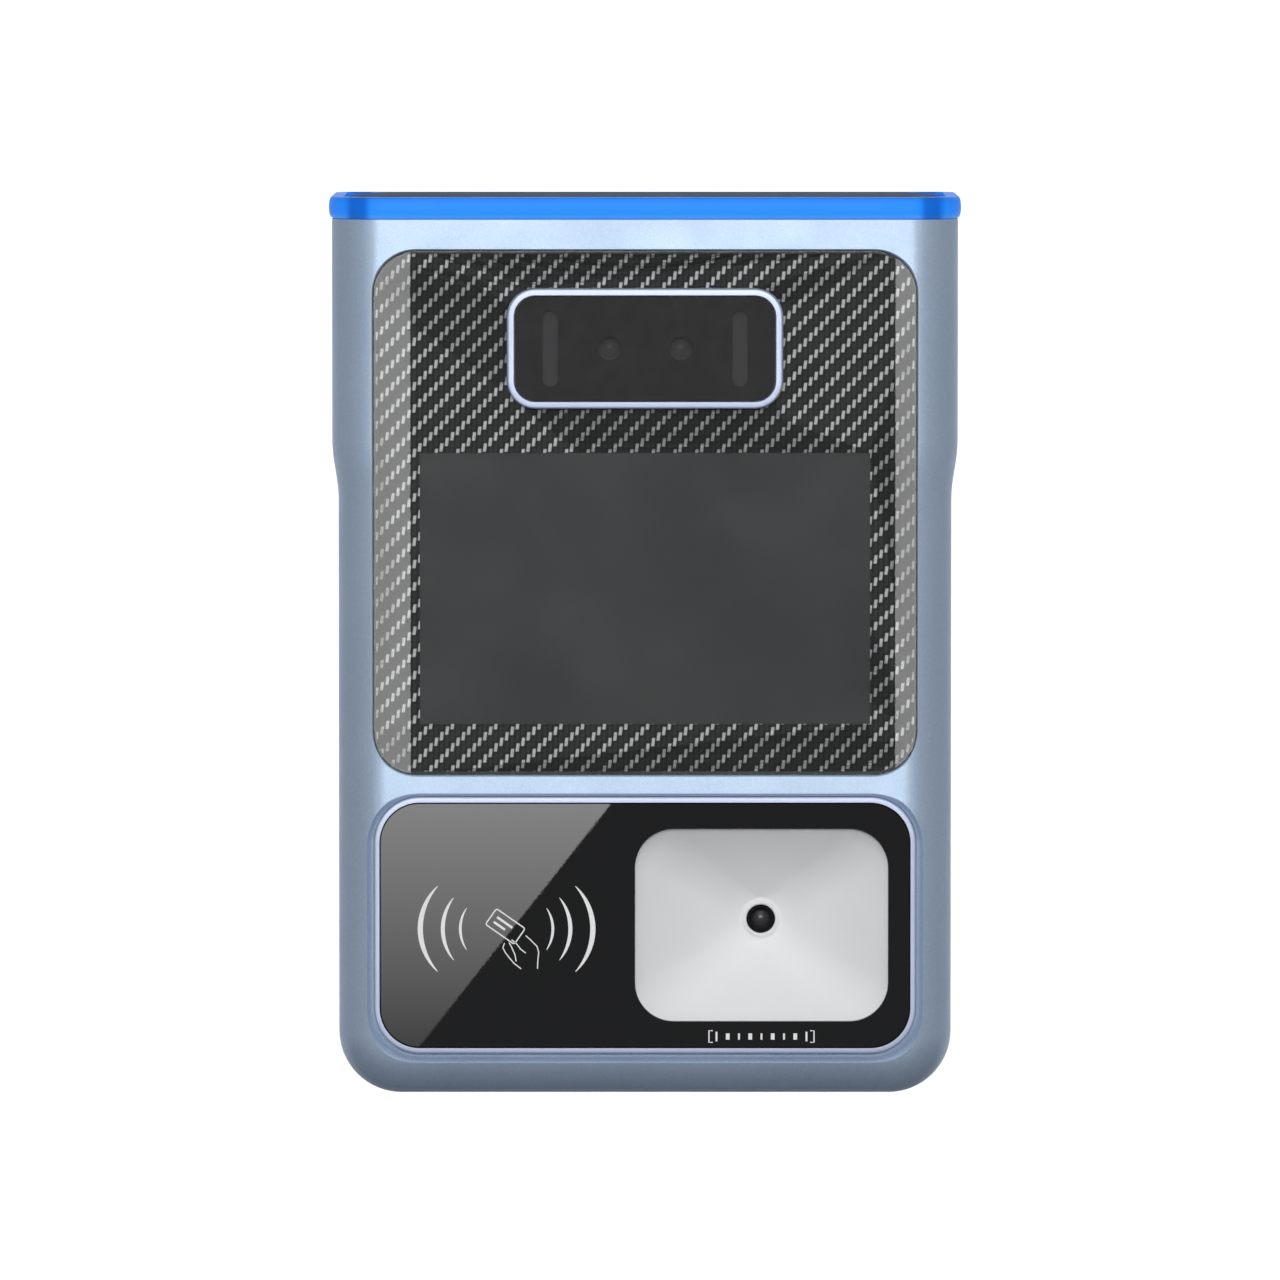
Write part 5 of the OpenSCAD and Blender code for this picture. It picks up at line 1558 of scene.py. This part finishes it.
@dataclass
class Studio:
    """Floor, backdrop, lights, reflectors and camera."""

    distance: float = 3.0
    elevation: float = 3.4
    view_wide: float = 0.3084
    sensor: float = 36.0
    face: float = -0.0625
    body_y: float = -0.045
    card_gap: float = 0.5
    aim_x: float = -0.0012
    aim_z: float = -0.0017
    floor: float = -0.8
    bend: float = 1.2
    wall_y: float = 3.0
    near_y: float = -5.0
    half: float = 6.0
    wall_tall: float = 5.0
    flag_z: float = -0.30
    world: float = 0.31
    world_tint: Rgb = (0.95, 0.97, 1.0)

    def lens_height(self) -> float:
        """Gives the camera's height in metres."""
        return self.aim_z + self.distance * math.sin(math.radians(self.elevation))

    def camera(self) -> None:
        """Sets the camera at the viewing angle."""
        data = bpy.data.cameras.new("camera")
        data.sensor_width = self.sensor
        data.lens = self.sensor * (self.distance + self.body_y) / self.view_wide
        data.clip_start, data.clip_end = 0.05, 30
        made = linked("camera", data)
        tilt = math.radians(self.elevation)
        made.location = (self.aim_x, -self.distance * math.cos(tilt), self.lens_height())
        made.rotation_euler = (math.pi / 2 - tilt, 0, 0)
        bpy.context.scene.camera = made

    def plain(self, name: str, colour: Rgb, glow: tuple[float, float] | None = None,
              span: tuple[float, float] = (0.0, 1.0)) -> bpy.types.Material:
        """Makes a studio material.

        Args:
            name: Its name.
            colour: Its colour.
            glow: Its own light at its lower and upper end.
            span: Heights of those ends in metres.

        Returns:
            The material.
        """
        g = Graph(name)
        if glow:
            power = g.remap(g.axes(g.put("TexCoord").outputs["Object"])[2], *span, *glow)
            return g.close(g.put("Emission", {"Color": colour, "Strength": power}).outputs[0])
        speck = g.remap(g.noise(g.place(), 60.0, 3.0), 0.3, 0.7, 0.0, 0.5)
        shade = g.blend(speck, colour, tuple(c * 0.98 for c in colour))
        return g.close(g.put("BsdfPrincipled", {"Base Color": shade, "Roughness": 0.9}).outputs[0])

    def sheet(self, name: str, points: list[tuple[float, float, float]], faces: list[tuple[int, ...]],
              material: bpy.types.Material) -> bpy.types.Object:
        """Stands a thin sheet in the studio.

        Args:
            name: Its name.
            points: Its corners in metres.
            faces: The corners of each face.
            material: Its material.

        Returns:
            The sheet.
        """
        mesh = bpy.data.meshes.new(name)
        mesh.from_pydata(points, [], faces)
        mesh.materials.append(material)
        made = linked(name, mesh)
        return made

    def sweep_wall(self) -> None:
        """Builds the pale floor that curves up into the backdrop."""
        profile = [(self.near_y, self.floor), (self.wall_y, self.floor)]
        profile += [(self.wall_y + self.bend * math.sin(a), self.floor + self.bend * (1 - math.cos(a)))
                    for a in quarter(16)]
        profile.append((self.wall_y + self.bend, self.floor + self.wall_tall))
        points = [(x, y, z) for y, z in profile for x in (-self.half, self.half)]
        faces = [(i, i + 1, i + 3, i + 2) for i in range(0, len(points) - 2, 2)]
        wall = self.sheet("studio_floor", points, faces, self.plain("studio_floor", (0.9, 0.9, 0.9)))
        for face in wall.data.polygons:
            face.use_smooth = True

    def lamp(self, name: str, at: tuple, aim: tuple, size: tuple, power: float) -> None:
        """Hangs a soft box.

        Args:
            name: Its name.
            at: Its place in metres.
            aim: The point that it faces.
            size: Its width and height.
            power: Its power in watts.
        """
        data = bpy.data.lights.new(name, "AREA")
        data.shape, data.size, data.size_y = "RECTANGLE", *size
        data.energy, data.color = power, WHITE
        made = linked(name, data)
        made.location = at
        made.rotation_euler = (Vector(aim) - Vector(at)).to_track_quat("-Z", "Y").to_euler()

    def reflector(self, name: str, corners: list[tuple[float, float]],
                  glow: tuple[float, float]) -> None:
        """Sets a lit card where the glass shows it.

        Args:
            name: Its name.
            corners: The places on the glass, in millimetres, that show its corners.
            glow: Its brightness at its lower and upper end.
        """
        share = self.card_gap / (self.distance + self.face)
        y, high = self.face - self.card_gap, self.lens_height()
        points = [(x * MM * (1 + share), y, z * MM + share * (z * MM - high)) for x, z in corners]
        ends = [z for _, _, z in points]
        card = self.sheet(name, points, [tuple(range(len(points)))],
                          self.plain(name, WHITE, glow, (min(ends), max(ends))))
        card.visible_camera = card.visible_shadow = card.visible_diffuse = False

    def flag(self) -> None:
        """Lays a dark card under the terminal, so that its lower edge falls into shade."""
        points = [(x, y, self.flag_z) for x, y in ((-0.9, -1.5), (0.9, -1.5), (0.9, 0.3), (-0.9, 0.3))]
        card = self.sheet("flag_low", points, [(0, 1, 2, 3)], self.plain("flag_low", (0.2, 0.2, 0.22)))
        card.visible_camera = False

    def build(self) -> None:
        """Builds the studio."""
        scene = bpy.context.scene
        scene.view_settings.view_transform = "Standard"
        self.camera()
        self.sweep_wall()
        world = bpy.data.worlds.new("studio")
        world.use_nodes = True
        sky = world.node_tree.nodes["Background"]
        sky.inputs[0].default_value, sky.inputs[1].default_value = (*self.world_tint, 1.0), self.world
        scene.world = world
        body = (0.0, -0.03, 0.0)
        self.lamp("key", (0.0, -1.2, 1.1), body, (0.9, 0.6), 4.5)
        self.lamp("front", (0.0, -2.8, 0.55), body, (1.1, 0.4), 29)
        self.flag()
        for name, x in (("backdrop_left", -1.5), ("backdrop_right", 1.5)):
            self.lamp(name, (x, 1.6, 1.6), (0, 4.0, 0.2), (1.4, 1.4), 50)
        self.reflector("card_left", [(-56.0, -34), (-56.0, 110), (-92, 110), (-92, -34)], (5.0, 5.4))
        self.reflector("card_right", [(60.1, -34), (60.1, 110), (90, 110), (90, -34)], (5.0, 5.4))
        self.reflector("card_low", [(-7.7, -37.0), (-54.2, -96.0), (-58, -101), (-100, -101),
                                    (-100, -37.0)], (0.9, 5.6))
        log.info("Studio: camera %.2f m away", self.distance)


def clear_defaults() -> None:
    """Removes what a fresh file starts with, other than the frame."""
    kept = set(frame["bodies"].values()) | set(frame["nodes"].values())
    for o in list(bpy.data.objects):
        if o not in kept and o.name in ("Cube", "Light", "Camera"):
            bpy.data.objects.remove(o)


def main() -> None:
    """Builds the terminal's pieces in order, then the studio."""
    clear_defaults()
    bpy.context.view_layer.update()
    book = FinishBook()
    carried = CarriedParts(book)
    carried.build()
    total = len(carried.pieces)
    for part in (FrontHousing(book), TopLight(book), DisplayPanel(book), CameraBay(book),
                 ReaderPanel(book), ScanMouth(book)):
        part.build()
        total += len(part.pieces)
    Studio().build()
    bpy.context.view_layer.update()
    log.info("%d pieces dressed", total)


if __name__ == "__main__":
    logging.basicConfig(level=logging.INFO, format="%(message)s")
    main()
